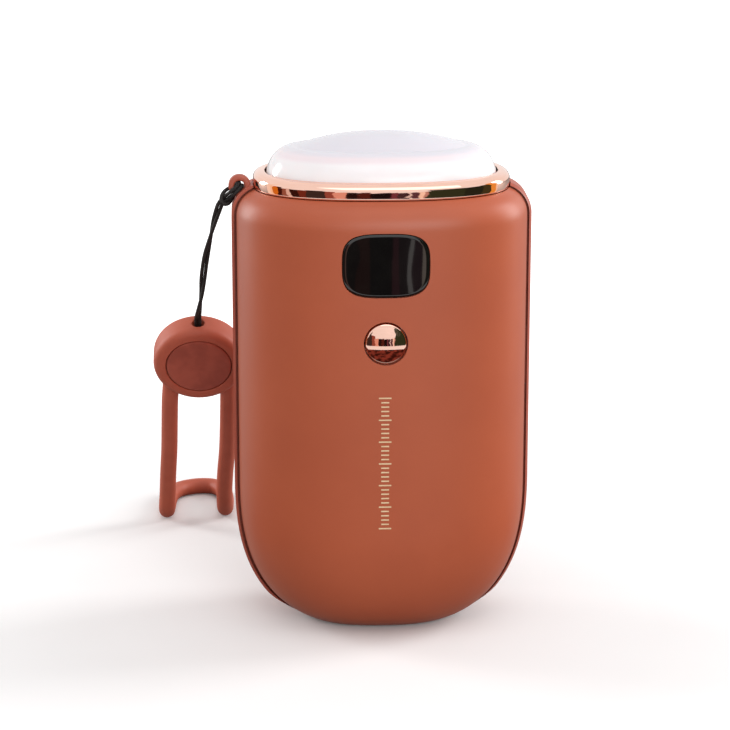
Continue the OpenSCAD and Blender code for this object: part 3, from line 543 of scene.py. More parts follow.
def buttonPoint(turn, grow):
    x = (button["hole"] + grow) * math.cos(turn)
    z = button["z"] + (button["hole"] + grow) * math.sin(turn)
    return Vector((x, frontY(x, z), z))


def windowSays(co, grow):
    x = abs(co.x) / (window["half"].x + grow)
    z = abs(co.z - window["z"]) / (window["half"].z + grow)
    return x ** window["power"] + z ** window["power"] < 1


def buttonSays(co, grow):
    return math.hypot(co.x, co.z - button["z"]) < button["hole"] + grow


def windowTurns(count):
    return evenTurns(count, window["half"].x, window["half"].z, window["power"])


def circleTurns(count):
    return [2 * math.pi * i / count for i in range(count)]


def cutFront(bm):
    cuts = [(windowSays, windowPoint, window, windowTurns(window["count"])),
            (buttonSays, buttonPoint, button, circleTurns(button["count"]))]
    for says, point, piece, turns in cuts:
        opening(bm, lambda co: says(co, body["cleared"]), lambda co: says(co, piece["joined"]),
                [[point(t, grow) for t in turns] for grow in body["holeSteps"]])


def makeShell(name, node, side, material):
    heights = shellHeights()
    columns, rows = body["columns"], len(heights) - 1
    low = math.asin((body["edgeY"] / body["shellDeep"]) ** (body["power"] / 2))
    turns = evenTurns(columns, body["shellHalf"], body["shellDeep"], body["power"], low, math.pi - low)
    spread = [(t - low) / (math.pi - 2 * low) for t in turns + [math.pi - low]]
    bm = bmesh.new()
    bmesh.ops.create_grid(bm, x_segments=columns, y_segments=rows, size=0.5)
    bottom = []
    for vert in bm.verts:
        i = round((vert.co.x + 0.5) * columns)
        j = round((vert.co.y + 0.5) * rows)
        z = heights[j]
        a, b = sideX(z), faceY(z)
        start = math.asin(min(1, (body["edgeY"] / b) ** (body["power"] / 2)))
        turn = math.pi - start - spread[i] * (math.pi - 2 * start)
        x, y = planPoint(turn, a, b, body["power"])
        vert.co = (x, side * y, z)
        if j == 0:
            bottom.append(vert)
    bmesh.ops.contextual_create(bm, geom=bottom)
    if side < 0:
        cutFront(bm)
    bmesh.ops.recalc_face_normals(bm, faces=bm.faces)
    middle = max(bm.faces, key=lambda f: side * f.calc_center_median().y)
    if side * middle.normal.y < 0:
        bmesh.ops.reverse_faces(bm, faces=bm.faces)
    piece = finished(name, bm, material, [node], sharp=60)
    walled(piece, body["wall"])
    softEdges(piece, body["edgeSoft"])


# Side frame: one section carried down the left side, under the body and up the right side

ports = {
    "deep": 2.1,
    "large": {"z": 61, "half": Vector((0, 2.7, 6.7)), "round": 0.45},
    "small": {"z": 45, "half": Vector((0, 1.7, 4.6)), "round": 1.69},
}


def portPoint(port, turn, grow, inward):
    r = port["round"] + grow
    flatY, flatZ = port["half"].y + grow - r, port["half"].z + grow - r
    y = math.copysign(flatY, math.cos(turn)) + r * math.cos(turn)
    z = math.copysign(flatZ, math.sin(turn)) + r * math.sin(turn)
    return Vector((body["frameHalf"] - inward, y, port["z"] + z))


def portTurns():
    corner = [math.radians(1 + 88 * i / 8) for i in range(9)]
    return [quarter * math.pi / 2 + t for quarter in range(4) for t in corner]


def portSays(port, co, grow):
    return (co.x > body["frameHalf"] - 0.4 and abs(co.y) < port["half"].y + grow
            and abs(co.z - port["z"]) < port["half"].z + grow)


band = {
    "fillGap": 0.15,  # between the flat middle and the shells
    "lipFlat": 0.35,
    "across": 13,
    "sunk": 0.75,
    "leastLip": 0.02,
    "seam": 0.3,
    "nearCorner": (0.5, 1, 1.5),
    "shoulderSteps": 16,
    "edgeSoft": 0.16,
}


eyelet = {
    "x": -(body["frameHalf"] - 1.8),
    "z": body["rimZ"] + 0.2,
    "radius": 2.4,
    "hole": 1.1,
    "half": 1.1,
    "edge": 0.4,
    "flare": 0.9,
    "flareSwell": 0.7,
}


def frameStations():
    right = [Vector((frameX(z), 0, z)) for z in heightsUp(40, 72)]
    corner, near = right[0].x, band["nearCorner"]
    flat = [corner - step for step in near] + [(corner - near[-1]) * (1 - i / 16) for i in range(1, 17)]
    floor = [Vector((x, 0, body["baseZ"])) for x in flat]
    return floor[::-1] + right, corner


def bandSection():
    y, web, fill = body["frameDeep"], body["edgeY"] - body["grooveDeep"], body["edgeY"] - band["fillGap"]
    lip, thick, edge = body["lip"], body["frameThick"], y - band["lipFlat"]
    middle = [fill * (2 * i / band["across"] - 1) for i in range(band["across"] + 1)]
    return [(0, s) for s in [-y, -edge] + middle + [edge, y]] + [
        (lip, y), (lip, web), (thick, web), (thick, -web), (lip, -web), (lip, -y)]


# The band's ring at one station, where lips says how far its lips stand out, from 0 to 1
def bandRing(place, normal, lips):
    fill = body["edgeY"] - band["fillGap"]
    widest = fill + (body["frameDeep"] - fill) * lips
    return [place - max(inset, band["sunk"] * (1 - lips)) * normal
            + Vector((0, math.copysign(min(abs(s), widest), s), 0)) for inset, s in bandSection()]


shoulderCentre = Vector((body["frameHalf"] - body["frameShoulder"], 0, body["shoulderZ"]))


# The band's ring on its shoulder, which ends at the lamp ring
def shoulderRing(part):
    a, b, power = rimX + band["seam"], rimY + band["seam"], body["power"]
    points = []
    for inset, s in bandSection():
        r = body["frameShoulder"] - inset
        limitX = a * (1 - (abs(s) / b) ** power) ** (1 / power)
        turn = math.acos(min(1, (limitX - shoulderCentre.x) / r)) * part
        points.append(shoulderCentre + Vector((r * math.cos(turn), s, r * math.sin(turn))))
    return points


def makeFrame(material):
    half, corner = frameStations()
    rings = []
    for k, place in enumerate(half):
        ahead = half[min(k + 1, len(half) - 1)]
        behind = half[k - 1] if k else half[0] - (half[1] - half[0])
        way = (ahead - behind).normalized()
        normal = Vector((way.z, 0, -way.x)) if place.x >= corner - 0.01 else Vector((0, 0, -1))
        rise = min(1, (place.z - body["baseZ"]) / body["lipRise"])
        rings.append(bandRing(place, normal, max(band["leastLip"], rise * rise * (3 - 2 * rise))))
    steps = band["shoulderSteps"]
    rings += [shoulderRing(k / steps) for k in range(steps + 1)]
    mirrored = [[Vector((-p.x, p.y, p.z)) for p in points] for points in rings[:0:-1]]
    bm = loftOf(mirrored + rings)
    for port in (ports["large"], ports["small"]):
        socket = opening(bm, lambda co: portSays(port, co, 0.35), lambda co: portSays(port, co, 1.9),
                         [[portPoint(port, t, grow, inward) for t in portTurns()]
                          for grow, inward in ((0.2, 0), (0, 0), (0, ports["deep"]))])
        bmesh.ops.contextual_create(bm, geom=socket)
    bmesh.ops.recalc_face_normals(bm, faces=bm.faces)
    makeEyelet(bm)
    piece = finished("sideFrame", bm, material, ["side_frame"], sharp=40)
    softEdges(piece, band["edgeSoft"])


def makeEyelet(bm):
    soft, high = eyelet["edge"], eyelet["half"] - eyelet["edge"]
    out, hole = eyelet["radius"] - soft, eyelet["hole"] + soft
    centres = [(out, high), (hole, high), (hole, -high), (out, -high)]
    arcs = [arcOf(centre, soft, 90 * k, 90 * k + 90, 4) for k, centre in enumerate(centres)]
    profile = [point for arc in arcs for point in arc]
    lug = spunPiece(profile + profile[:1], 48, standing((eyelet["x"], 0, eyelet["z"])))
    for vert in lug.verts:
        over = math.hypot(vert.co.x + shoulderCentre.x, vert.co.z - shoulderCentre.z) - body["frameShoulder"]
        if over < eyelet["flare"]:
            near = 1 - max(0, over) / eyelet["flare"]
            vert.co.y *= 1 + eyelet["flareSwell"] * near * near
    mesh = meshFrom("eyelet", lug)
    bm.from_mesh(mesh)
    bpy.data.meshes.remove(mesh)


# Plated ring, lamp, pad

ring = {
    "low": body["rimZ"] + 0.1,
    "wide": 2.5,
    "high": 3.5,
    "swell": 0.12,
    "foot": [(0.16, 0), (0.05, 0.03), (-0.03, 0.12), (-0.085, 0.4), (-0.115, 0.9), (-0.12, 1.4)],  # inset, rise
    "roundFrom": 1.9,
    "skirt": 2.2,
    "skirtIn": 1.9,
}


def makeRing(material):
    z, top, deep = ring["low"], ring["low"] + ring["high"], body["rimZ"] - ring["skirt"]
    wide, swell, start = ring["wide"], ring["swell"], ring["roundFrom"]
    sections = [level(ring["skirtIn"], z - 0.02)] + [level(inset, z + rise) for inset, rise in ring["foot"]]
    for i in range(25):
        a = math.radians(90 * i / 24)
        inward = min((wide + swell) * (1 - math.cos(a)), wide - 0.12)
        sections.append(level(inward - swell, z + start + (ring["high"] - start) * math.sin(a)))
    sections += [level(wide - 0.1, top - 0.02), level(wide, top - 0.15), level(wide, deep),
                 level(ring["skirtIn"], deep)]
    finished("lampRing", oblongLoft(sections, 256, closed=True), material, ["lamp_ring"])


lampLow, lampHigh = boxOf("lamp_cover")
lamp = {
    "top": lampHigh.z,
    "sag": 3.1,
    "edgeHigh": 7,
    "edgeIn": 6.5,
    "edgePower": 2.1,
    "gap": 0.25,
    "flange": lampLow.z,
    "flangeIn": 2.05,
    "flangeThick": 1.7,
    "crownRings": (0.985, 0.965, 0.94, 0.9, 0.85, 0.78, 0.7, 0.6, 0.5, 0.4, 0.3, 0.2, 0.1, 0.03),
}


def makeLamp(material):
    inset, edgeIn, power = ring["wide"] + lamp["gap"], lamp["edgeIn"], lamp["edgePower"]
    side = lamp["top"] - lamp["sag"] - lamp["edgeHigh"]
    flangeTop = lamp["flange"] + lamp["flangeThick"]
    sections = [level(lamp["flangeIn"], lamp["flange"]), level(lamp["flangeIn"], flangeTop),
                level(inset, flangeTop), level(inset, side - 1.5)]
    for i in range(25):
        t = math.radians(90 * i / 24)
        inward = edgeIn * (1 - max(0, math.cos(t)) ** (2 / power))
        sections.append(level(inset + inward, side + lamp["edgeHigh"] * math.sin(t) ** (2 / power)))
    a, b, top = level(inset + edgeIn, lamp["top"])
    sections += [(a * s, b * s, top - lamp["sag"] * s * s) for s in lamp["crownRings"]]
    finished("lampCover", oblongLoft(sections, 192), material, ["lamp_cover"])


pad = {
    "edge": [(0, 0.12), (0.05, 0.04), (0.18, 0)],  # inset, height
    "groove": [(-0.5, 0), (-0.35, 0.14), (-0.05, 0.14), (0.1, 0)],
    "grooves": (2.2, 3.8, 5.4),
}


def makePad(material):
    a, b, z = boxOf("base_pad")[1]
    grooves = [(far + inset, high) for far in pad["grooves"] for inset, high in pad["groove"]]
    sections = [(a - inset, b - inset, high) for inset, high in [(0, z)] + pad["edge"] + grooves]
    finished("basePad", oblongLoft(sections, 128), material, ["base_pad"])


# Display lens and push button

def makeWindow(material):
    deep = window["lensIn"]
    rings = [[windowPoint(t, -window["lensGap"] - inset, deep + more) for t in windowTurns(window["lensCount"])]
             for inset, more in window["lensEdge"]]
    edge = rings[-1]
    for part in window["lensRings"]:
        spots = [(p.x * part, window["z"] + (p.z - window["z"]) * part) for p in edge]
        rings.append([Vector((x, frontY(x, z, deep), z)) for x, z in spots])
    finished("displayLens", loftOf(rings), material, ["display_window"])


def makeButton(material):
    inner = boxOf("power_button")[1]
    r, dome, stem, thick = button["radius"], button["dome"], button["stem"], button["flangeThick"]
    ball = (r * r + dome * dome) / (2 * dome)
    tip = body["shellDeep"] + button["out"]
    flange = body["shellDeep"] - body["wall"] - button["flangeGap"]
    turns = [math.asin((r - 0.22) / ball) * i / 20 for i in range(21)]
    profile = [(ball * math.sin(t), tip - ball + ball * math.cos(t)) for t in turns]
    profile += [(r - 0.08, tip - dome - 0.06), (r, tip - dome - 0.2), (r, flange), (inner.x, flange),
                (inner.x, flange - thick), (stem, flange - thick), (stem, -inner.y), (0, -inner.y)]
    bm = spunPiece(profile, 96, standing((0, 0, button["z"])))
    finished("pushButton", bm, material, ["power_button"], body="button")


# The strap's silicone button with its cap

def puckFrame():
    return standing(strap["button"], 90 + strap["lean"])


def makePuck(material):
    r, half, soft = strap["buttonRadius"], strap["buttonThick"] / 2, strap["edgeRound"]
    seat, deep = strap["capSeatRadius"], strap["capDeep"]
    profile = [(0, -half), (r - soft - 3, -half)] + arcOf((r - soft, -half + soft), soft, -90, 0, 8)
    profile += [(r, 0)] + arcOf((r - soft, half - soft), soft, 0, 90, 8)
    profile += [(seat + 0.2, half), (seat, half - 0.15), (seat, half - deep), (0, half - deep)]
    bm = spunPiece(profile, 120, Matrix())
    hole, far = strap["cordHoleRadius"], strap["cordHoleDeep"]

    def rim(turn, grow, down):
        x, h = (hole + grow) * math.cos(turn), (hole + grow) * math.sin(turn)
        flat = max(0, abs(h) - (half - soft))
        edge = r - soft + math.sqrt(soft * soft - flat * flat)
        return Vector((x, math.sqrt(edge * edge - x * x) - down, h))

    def near(co, grow):
        return co.y > 0 and math.hypot(co.x, co.z) < hole + grow and co.length > seat + 0.5

    socket = opening(bm, lambda co: near(co, 0.25), lambda co: near(co, 2.2),
                     [[rim(t, grow, down) for t in circleTurns(40)]
                      for grow, down in ((0.28, 0), (0.12, 0.05), (0.03, 0.18), (0, 0.4), (0, far))])
    bmesh.ops.contextual_create(bm, geom=socket)
    bmesh.ops.recalc_face_normals(bm, faces=bm.faces)
    bmesh.ops.transform(bm, matrix=puckFrame(), space=Matrix(), verts=bm.verts)
    return finished("strapButton", bm, material, ["strap_puck"])


capEdge = [(0, -0.35), (0.08, -0.14), (0.28, -0.02), (0.6, 0.02), (1.6, 0.03)]  # inset, rise over the puck


def makeCap(material):
    r, half, deep = strap["capRadius"], strap["buttonThick"] / 2, strap["capDeep"]
    profile = [(0, half - deep), (r, half - deep)] + [(r - inset, half + rise) for inset, rise in capEdge]
    bm = spunPiece(profile + [(0, half + 0.05)], 120, puckFrame())
    return finished("strapCap", bm, material, ["puck_cap"])


# Generic heat scale printed on the front

scale = {
    "x": -0.15,
    "low": 27.6,
    "marks": 31,
    "longEvery": 5,
    "pitch": 0.98,
    "thick": 0.3,
    "short": 0.85,
    "long": 1.35,
    "stands": 0.03,
}


def makeScale(material):
    bm = bmesh.new()
    for k in range(scale["marks"]):
        z = scale["low"] + k * scale["pitch"]
        half = scale["short"] if k % scale["longEvery"] else scale["long"]
        mark = bmesh.ops.create_cube(bm, size=1)["verts"]
        bmesh.ops.scale(bm, vec=(2 * half, 2 * scale["stands"], scale["thick"]), verts=mark)
        bmesh.ops.translate(bm, vec=(scale["x"], frontY(0, z), z), verts=mark)
    finished("heatScale", bm, material)


# Shader groups that several finishes share

def newGroup(name, inputs, outputs):
    tree = bpy.data.node_groups.new(name, "ShaderNodeTree")
    kinds = {3: "NodeSocketVector", 4: "NodeSocketColor"}
    for label, value in inputs.items():
        kind = kinds[len(value)] if isinstance(value, tuple) else "NodeSocketFloat"
        tree.interface.new_socket(label, in_out="INPUT", socket_type=kind).default_value = value
    for label in outputs:
        kind = "NodeSocketColor" if label == "Color" else "NodeSocketFloat"
        tree.interface.new_socket(label, in_out="OUTPUT", socket_type=kind)
    return tree, tree.nodes.new("NodeGroupInput").outputs, tree.nodes.new("NodeGroupOutput").inputs


# Gives each socket its value, which is a number, a colour or another node's output
def wire(tree, sockets, values):
    for socket, value in zip(sockets, values):
        if isinstance(value, bpy.types.NodeSocket):
            tree.links.new(value, socket)
        else:
            socket.default_value = value


def setSockets(node, values):
    for label, value in values.items():
        node.inputs[label].default_value = value


def objectPlace(tree):
    return tree.nodes.new("ShaderNodeTexCoord").outputs["Object"]


def axesOf(tree, vector):
    node = tree.nodes.new("ShaderNodeSeparateXYZ")
    tree.links.new(vector, node.inputs[0])
    return node.outputs


def mathNode(tree, operation, *values):
    node = tree.nodes.new("ShaderNodeMath")
    node.operation = operation
    wire(tree, node.inputs, values)
    return node.outputs[0]


def vectorNode(tree, operation, *values):
    node = tree.nodes.new("ShaderNodeVectorMath")
    node.operation = operation
    wire(tree, node.inputs, values)
    return node.outputs["Value" if operation == "LENGTH" else "Vector"]


def mixNode(tree, factor, a, b, kind="MIX"):
    node = tree.nodes.new("ShaderNodeMix")
    node.data_type = "RGBA"
    node.blend_type = kind
    wire(tree, (node.inputs[0], node.inputs[6], node.inputs[7]), (factor, a, b))
    return node.outputs[2]


def noiseNode(tree, vector, scale, detail, rough):
    node = tree.nodes.new("ShaderNodeTexNoise")
    labels = ("Vector", "Scale", "Detail", "Roughness")
    wire(tree, [node.inputs[label] for label in labels], (vector, scale, detail, rough))
    return node.outputs["Fac"]


def rangeNode(tree, value, low, high, toLow=0.0, toHigh=1.0):
    node = tree.nodes.new("ShaderNodeMapRange")
    node.interpolation_type = "SMOOTHSTEP"
    wire(tree, node.inputs, (value, low, high, toLow, toHigh))
    return node.outputs[0]


# Soft coating or moulded plastic: broad patches of a second shade, and a fine grain. Sizes in metres
def makeGrainGroup():
    tree, entry, leave = newGroup("fineGrain", {
        "Color": (0.5, 0.5, 0.5, 1), "Second Color": (0.4, 0.4, 0.4, 1), "Patch Size": 0.02,
        "Grain Size": 0.0003, "Roughness": 0.5, "Roughness Spread": 0.1, "Speckle": 0.1},
        ("Color", "Roughness", "Height"))
    at = objectPlace(tree)
    patches = noiseNode(tree, at, mathNode(tree, "DIVIDE", 1.0, entry["Patch Size"]), 3.0, 0.55)
    grain = noiseNode(tree, at, mathNode(tree, "DIVIDE", 1.0, entry["Grain Size"]), 2.0, 0.6)
    shade = mixNode(tree, rangeNode(tree, patches, 0.3, 0.7), entry["Color"], entry["Second Color"])
    centred = mathNode(tree, "SUBTRACT", grain, 0.5)
    grey = tree.nodes.new("ShaderNodeCombineColor")
    wire(tree, grey.inputs, [mathNode(tree, "MULTIPLY_ADD", centred, entry["Speckle"], 1.0)] * 3)
    both = mathNode(tree, "ADD", centred, mathNode(tree, "SUBTRACT", patches, 0.5))
    rough = mathNode(tree, "MULTIPLY_ADD", both, entry["Roughness Spread"], entry["Roughness"])
    wire(tree, leave, (mixNode(tree, 1.0, shade, grey.outputs[0], "MULTIPLY"), rough, grain))
    return tree


# Drawn, rolled or polished metal: streaks along one direction
def makeStreakGroup():
    tree, entry, leave = newGroup("fineStreaks", {
        "Color": (0.7, 0.7, 0.7, 1), "Second Color": (0.6, 0.6, 0.6, 1), "Streaks": (400, 4000, 4000),
        "Roughness": 0.3, "Roughness Spread": 0.1}, ("Color", "Roughness", "Height"))
    streaks = noiseNode(tree, vectorNode(tree, "MULTIPLY", objectPlace(tree), entry["Streaks"]), 1.0, 3.0, 0.6)
    shade = mixNode(tree, rangeNode(tree, streaks, 0.3, 0.7), entry["Color"], entry["Second Color"])
    rough = mathNode(tree, "MULTIPLY_ADD", mathNode(tree, "SUBTRACT", streaks, 0.5), entry["Roughness Spread"],
                     entry["Roughness"])
    wire(tree, leave, (shade, rough, streaks))
    return tree


# Braided cover of a thin cord, on the piece's own UV map, with painted shade: the weave's hollows get a darker
# colour
def makeBraidGroup():
    tree, entry, leave = newGroup("braid", {
        "Color": (0.03, 0.03, 0.03, 1), "Painted Hollow Shade": (0.01, 0.01, 0.01, 1), "Carriers": 4.0, "Pitch": 1.0,
        "Fuzz": 0.3}, ("Color", "Height"))
    uv = axesOf(tree, tree.nodes.new("ShaderNodeTexCoord").outputs["UV"])
    turns = mathNode(tree, "MULTIPLY", uv[0], entry["Carriers"])
    along = mathNode(tree, "MULTIPLY", uv[1], entry["Pitch"])

    def waves(operation):
        phase = mathNode(tree, "MULTIPLY", mathNode(tree, operation, turns, along), math.pi)
        return mathNode(tree, "ABSOLUTE", mathNode(tree, "SINE", phase))

    woven = mathNode(tree, "MAXIMUM", mathNode(tree, "MULTIPLY", waves("ADD"), 0.9), waves("SUBTRACT"))
    fuzz = noiseNode(tree, objectPlace(tree), 9000.0, 2.0, 0.6)
    height = mathNode(tree, "MULTIPLY_ADD", fuzz, entry["Fuzz"], woven)
    # painted shade: the lower the relief, the darker the colour, from the hollow shade up to the strand colour
    shade = mixNode(tree, rangeNode(tree, height, 0.5, 1.1), entry["Painted Hollow Shade"], entry["Color"])
    wire(tree, leave, (shade, height))
    return tree


grainGroup, streakGroup, braidGroup = makeGrainGroup(), makeStreakGroup(), makeBraidGroup()


def newMaterial(name):
    material = bpy.data.materials.new(name)
    material.use_nodes = True
    tree = material.node_tree
    return material, tree, tree.nodes["Principled BSDF"]


# A colour as a picture editor shows it, 0 to 255
def tint(red, green, blue):
    parts = [c / 255 for c in (red, green, blue)]
    return (*[p / 12.92 if p <= 0.04045 else ((p + 0.055) / 1.055) ** 2.4 for p in parts], 1)


# A material whose colour, roughness and relief come from a shader group, with the bump's distance in mm
def grouped(name, group, values, bump, distance, sockets=None):
    material, tree, shader = newMaterial(name)
    node = tree.nodes.new("ShaderNodeGroup")
    node.node_tree = group
    setSockets(node, values)
    setSockets(shader, sockets or {})
    tree.links.new(node.outputs["Color"], shader.inputs["Base Color"])
    if "Roughness" in node.outputs:
        tree.links.new(node.outputs["Roughness"], shader.inputs["Roughness"])
    relief = tree.nodes.new("ShaderNodeBump")
    setSockets(relief, {"Strength": bump, "Distance": distance * mm})
    tree.links.new(node.outputs["Height"], relief.inputs["Height"])
    tree.links.new(relief.outputs[0], shader.inputs["Normal"])
    return material, tree, shader, node


# Coated, moulded or printed finishes, sizes in millimetres
grainLooks = {
    # colour, second colour, patch size, grain size, roughness, its spread, speckle, bump
    "shellPaint": ((180, 86, 52), (175, 82, 49), 24, 0.22, 0.44, 0.1, 0.1, 0.12),
    "framePlastic": ((170, 80, 58), (164, 76, 55), 18, 0.2, 0.45, 0.1, 0.08, 0.1),
    "silicone": ((190, 92, 66), (182, 86, 61), 7, 0.18, 0.55, 0.12, 0.12, 0.16),
    "capPlastic": ((180, 85, 64), (158, 70, 52), 6, 0.16, 0.5, 0.1, 0.1, 0.12),
    "padRubber": ((46, 42, 40), (36, 33, 32), 4, 0.3, 0.75, 0.15, 0.3, 0.4),
    "scalePrint": ((232, 205, 165), (222, 194, 152), 2, 0.12, 0.45, 0.1, 0.1, 0.1),
    "milkyLamp": ((248, 243, 244), (246, 240, 242), 12, 0.25, 0.16, 0.05, 0.02, 0.03),
    "smokedLens": ((15, 14, 14), (19, 18, 17), 5, 0.3, 0.05, 0.02, 0.1, 0.01),
    "whiteBoard": ((240, 240, 236), (232, 232, 228), 6, 0.2, 0.4, 0.1, 0.06, 0.08),
    "phosphor": ((246, 222, 120), (240, 210, 96), 1.2, 0.1, 0.3, 0.1, 0.12, 0.1),
    "whitePlastic": ((240, 240, 236), (232, 231, 226), 9, 0.25, 0.5, 0.1, 0.06, 0.15),
    "gasketFoam": ((30, 30, 31), (22, 22, 23), 2, 0.35, 0.9, 0.1, 0.6, 0.8),
    "displayGlass": ((30, 30, 34), (24, 24, 28), 3, 0.2, 0.15, 0.06, 0.06, 0.03),
    "darkPlastic": ((38, 38, 41), (31, 31, 34), 2, 0.15, 0.5, 0.12, 0.15, 0.2),
    "ivoryPlastic": ((236, 229, 208), (228, 220, 196), 3, 0.18, 0.42, 0.1, 0.06, 0.12),
    "carrierPlastic": ((214, 211, 201), (206, 202, 190), 14, 0.3, 0.5, 0.1, 0.08, 0.18),
    "cellSleeve": ((34, 96, 158), (28, 86, 146), 9, 0.5, 0.28, 0.08, 0.05, 0.06),
    "heaterFilm": ((200, 122, 34), (186, 106, 26), 4, 0.4, 0.25, 0.08, 0.12, 0.05),
    "leadRed": ((178, 26, 24), (164, 20, 20), 2, 0.15, 0.5, 0.1, 0.08, 0.1),
    "leadWhite": ((226, 225, 222), (216, 215, 211), 2, 0.15, 0.5, 0.1, 0.08, 0.1),
    "leadYellow": ((222, 184, 52), (210, 170, 40), 2, 0.15, 0.5, 0.1, 0.08, 0.1),
    "boardMask": ((20, 88, 48), (16, 78, 42), 8, 0.2, 0.3, 0.08, 0.06, 0.05),
}
metalLooks = {
    # colour, second colour, streaks per metre along each axis, roughness, its spread, bump
    "rosePlating": ((247, 204, 186), (244, 199, 180), (220, 220, 2600), 0.045, 0.03, 0.02),
    "zincSteel": ((176, 176, 178), (158, 158, 160), (3000, 3000, 900), 0.3, 0.15, 0.1),
    "pressedSteel": ((152, 152, 156), (140, 140, 144), (600, 3000, 3000), 0.32, 0.12, 0.08),
    "tinShell": ((190, 190, 194), (172, 172, 177), (400, 3500, 3500), 0.25, 0.12, 0.08),
    "nickelStrip": ((198, 195, 188), (184, 181, 173), (300, 4000, 4000), 0.3, 0.12, 0.08),
    "rolledPlate": ((204, 206, 208), (192, 194, 197), (3000, 3000, 250), 0.35, 0.12, 0.1),
}


def grained(name, sockets=None):
    color, second, patch, grain, roughness, spread, speckle, bump = grainLooks[name]
    values = {"Color": tint(*color), "Second Color": tint(*second), "Patch Size": patch * mm,
              "Grain Size": grain * mm, "Roughness": roughness, "Roughness Spread": spread, "Speckle": speckle}
    return grouped(name, grainGroup, values, bump, grain * 0.3, sockets)


def metallic(name):
    color, second, streaks, roughness, spread, bump = metalLooks[name]
    values = {"Color": tint(*color), "Second Color": tint(*second), "Streaks": streaks,
              "Roughness": roughness, "Roughness Spread": spread}
    return grouped(name, streakGroup, values, bump, 0.02, {"Metallic": 1})


# Finishes of the parts outside

softGloss = {"Specular IOR Level": 0.5}
shellPaint = grained("shellPaint", {**softGloss, "Sheen Weight": 0.05, "Sheen Roughness": 0.35})[0]
framePlastic = grained("framePlastic", softGloss)[0]
silicone = grained("silicone", softGloss)[0]
capPlastic = grained("capPlastic", softGloss)[0]
padRubber = grained("padRubber")[0]
scalePrint = grained("scalePrint")[0]
rosePlating = metallic("rosePlating")[0]
smokedLens = grained("smokedLens", {"Coat Weight": 0.5, "Coat Roughness": 0.03})[0]

milkLook = {
    # painted shade on the crown, and a painted reflection of the rose ring in the crease below it
    "crown": tint(229, 225, 233),
    "paintedRingReflection": tint(244, 230, 234),
    "creaseZ": 106.9,
    "sockets": {"Subsurface Weight": 0.25, "Subsurface Radius": (1.0, 0.75, 0.7), "Subsurface Scale": 0.004,
                "Coat Weight": 0.2, "Coat Roughness": 0.06},
}


# The lamp's milky shade with painted light: a painted reflection of the rose ring warms the crease round its
# crown, and painted shade makes the crown cooler and greyer
def makeMilk():
    material, tree, shader, node = grained("milkyLamp", milkLook["sockets"])
    z, edge = axesOf(tree, objectPlace(tree))[2], milkLook["creaseZ"]
    # painted reflection of the ring in the crease, then painted shade over the crown
    withRingReflection = mixNode(tree, rangeNode(tree, z, (edge - 1.2) * mm, (edge - 0.2) * mm), node.outputs["Color"],
                      milkLook["paintedRingReflection"])
    crowned = mixNode(tree, rangeNode(tree, z, (edge + 0.1) * mm, (edge + 0.9) * mm), withRingReflection, milkLook["crown"])
    tree.links.new(crowned, shader.inputs["Base Color"])
    return material


milk = makeMilk()
# the second colour is painted shade for the hollows between the strands
braidLook = {"Color": tint(44, 41, 40), "Painted Hollow Shade": tint(22, 20, 20), "Carriers": 4.0, "Pitch": 1.0, "Fuzz": 0.3}
blackBraid = grouped("blackBraid", braidGroup, braidLook, 0.8, 0.06,
                     {"Roughness": 0.7, "Specular IOR Level": 0.25})[0]


# Circuit board: green solder mask over fine copper tracks and a few pads
def makeBoardMask():
    material, tree, shader, node = grained("boardMask")
    at = objectPlace(tree)
    turned = tree.nodes.new("ShaderNodeMapping")
    setSockets(turned, {"Rotation": (math.radians(90), 0, 0)})
    tree.links.new(at, turned.inputs["Vector"])
    bricks = tree.nodes.new("ShaderNodeTexBrick")
    setSockets(bricks, {"Scale": 500, "Mortar Size": 0.03, "Brick Width": 2.2, "Row Height": 0.6})
    tree.links.new(turned.outputs[0], bricks.inputs["Vector"])
    tracks = mixNode(tree, bricks.outputs["Fac"], node.outputs["Color"], tint(46, 128, 74))
    pads = tree.nodes.new("ShaderNodeTexVoronoi")
    setSockets(pads, {"Scale": 420})
    tree.links.new(at, pads.inputs["Vector"])
    dots = rangeNode(tree, pads.outputs["Distance"], 0.2, 0.16)
    tree.links.new(mixNode(tree, dots, tracks, tint(196, 178, 118)), shader.inputs["Base Color"])
    return material


insideNodes = {
    "whiteBoard": ["lamp_board"], "phosphor": ["lamp_leds"], "whitePlastic": ["lamp_holder"],
    "gasketFoam": ["display_gasket"], "displayGlass": ["display_module"],
    "darkPlastic": ["switch_plunger", "controller_chips", "thermal_sensor", "power_inductor"],
    "ivoryPlastic": ["battery_socket", "heater_sockets"], "carrierPlastic": ["inner_carrier"],
    "cellSleeve": ["battery_cell_left", "battery_cell_right"],
    "heaterFilm": ["front_heater_film", "rear_heater_film"], "leadRed": ["port_leads", "battery_leads"],
    "leadWhite": ["lamp_leads"], "leadYellow": ["front_heater_leads", "rear_heater_leads"],
    "zincSteel": ["lamp_screws", "board_screws", "shell_screws", "frame_screws"],
    "pressedSteel": ["tact_switch"], "tinShell": ["usb_a_port", "usb_c_port"],
    "nickelStrip": ["battery_tab_top", "battery_tab_bottom"],
    "rolledPlate": ["front_heat_plate", "rear_heat_plate"], "boardMask": ["main_board", "port_board"],
}


def insideFinish(name):
    if name == "boardMask":
        return makeBoardMask()
    return metallic(name)[0] if name in metalLooks else grained(name)[0]


def dressInside():
    for name, nodes in insideNodes.items():
        finish = insideFinish(name)
        for node in nodes:
            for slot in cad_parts[node].material_slots:
                slot.material = finish


dressInside()
print("finishes made")


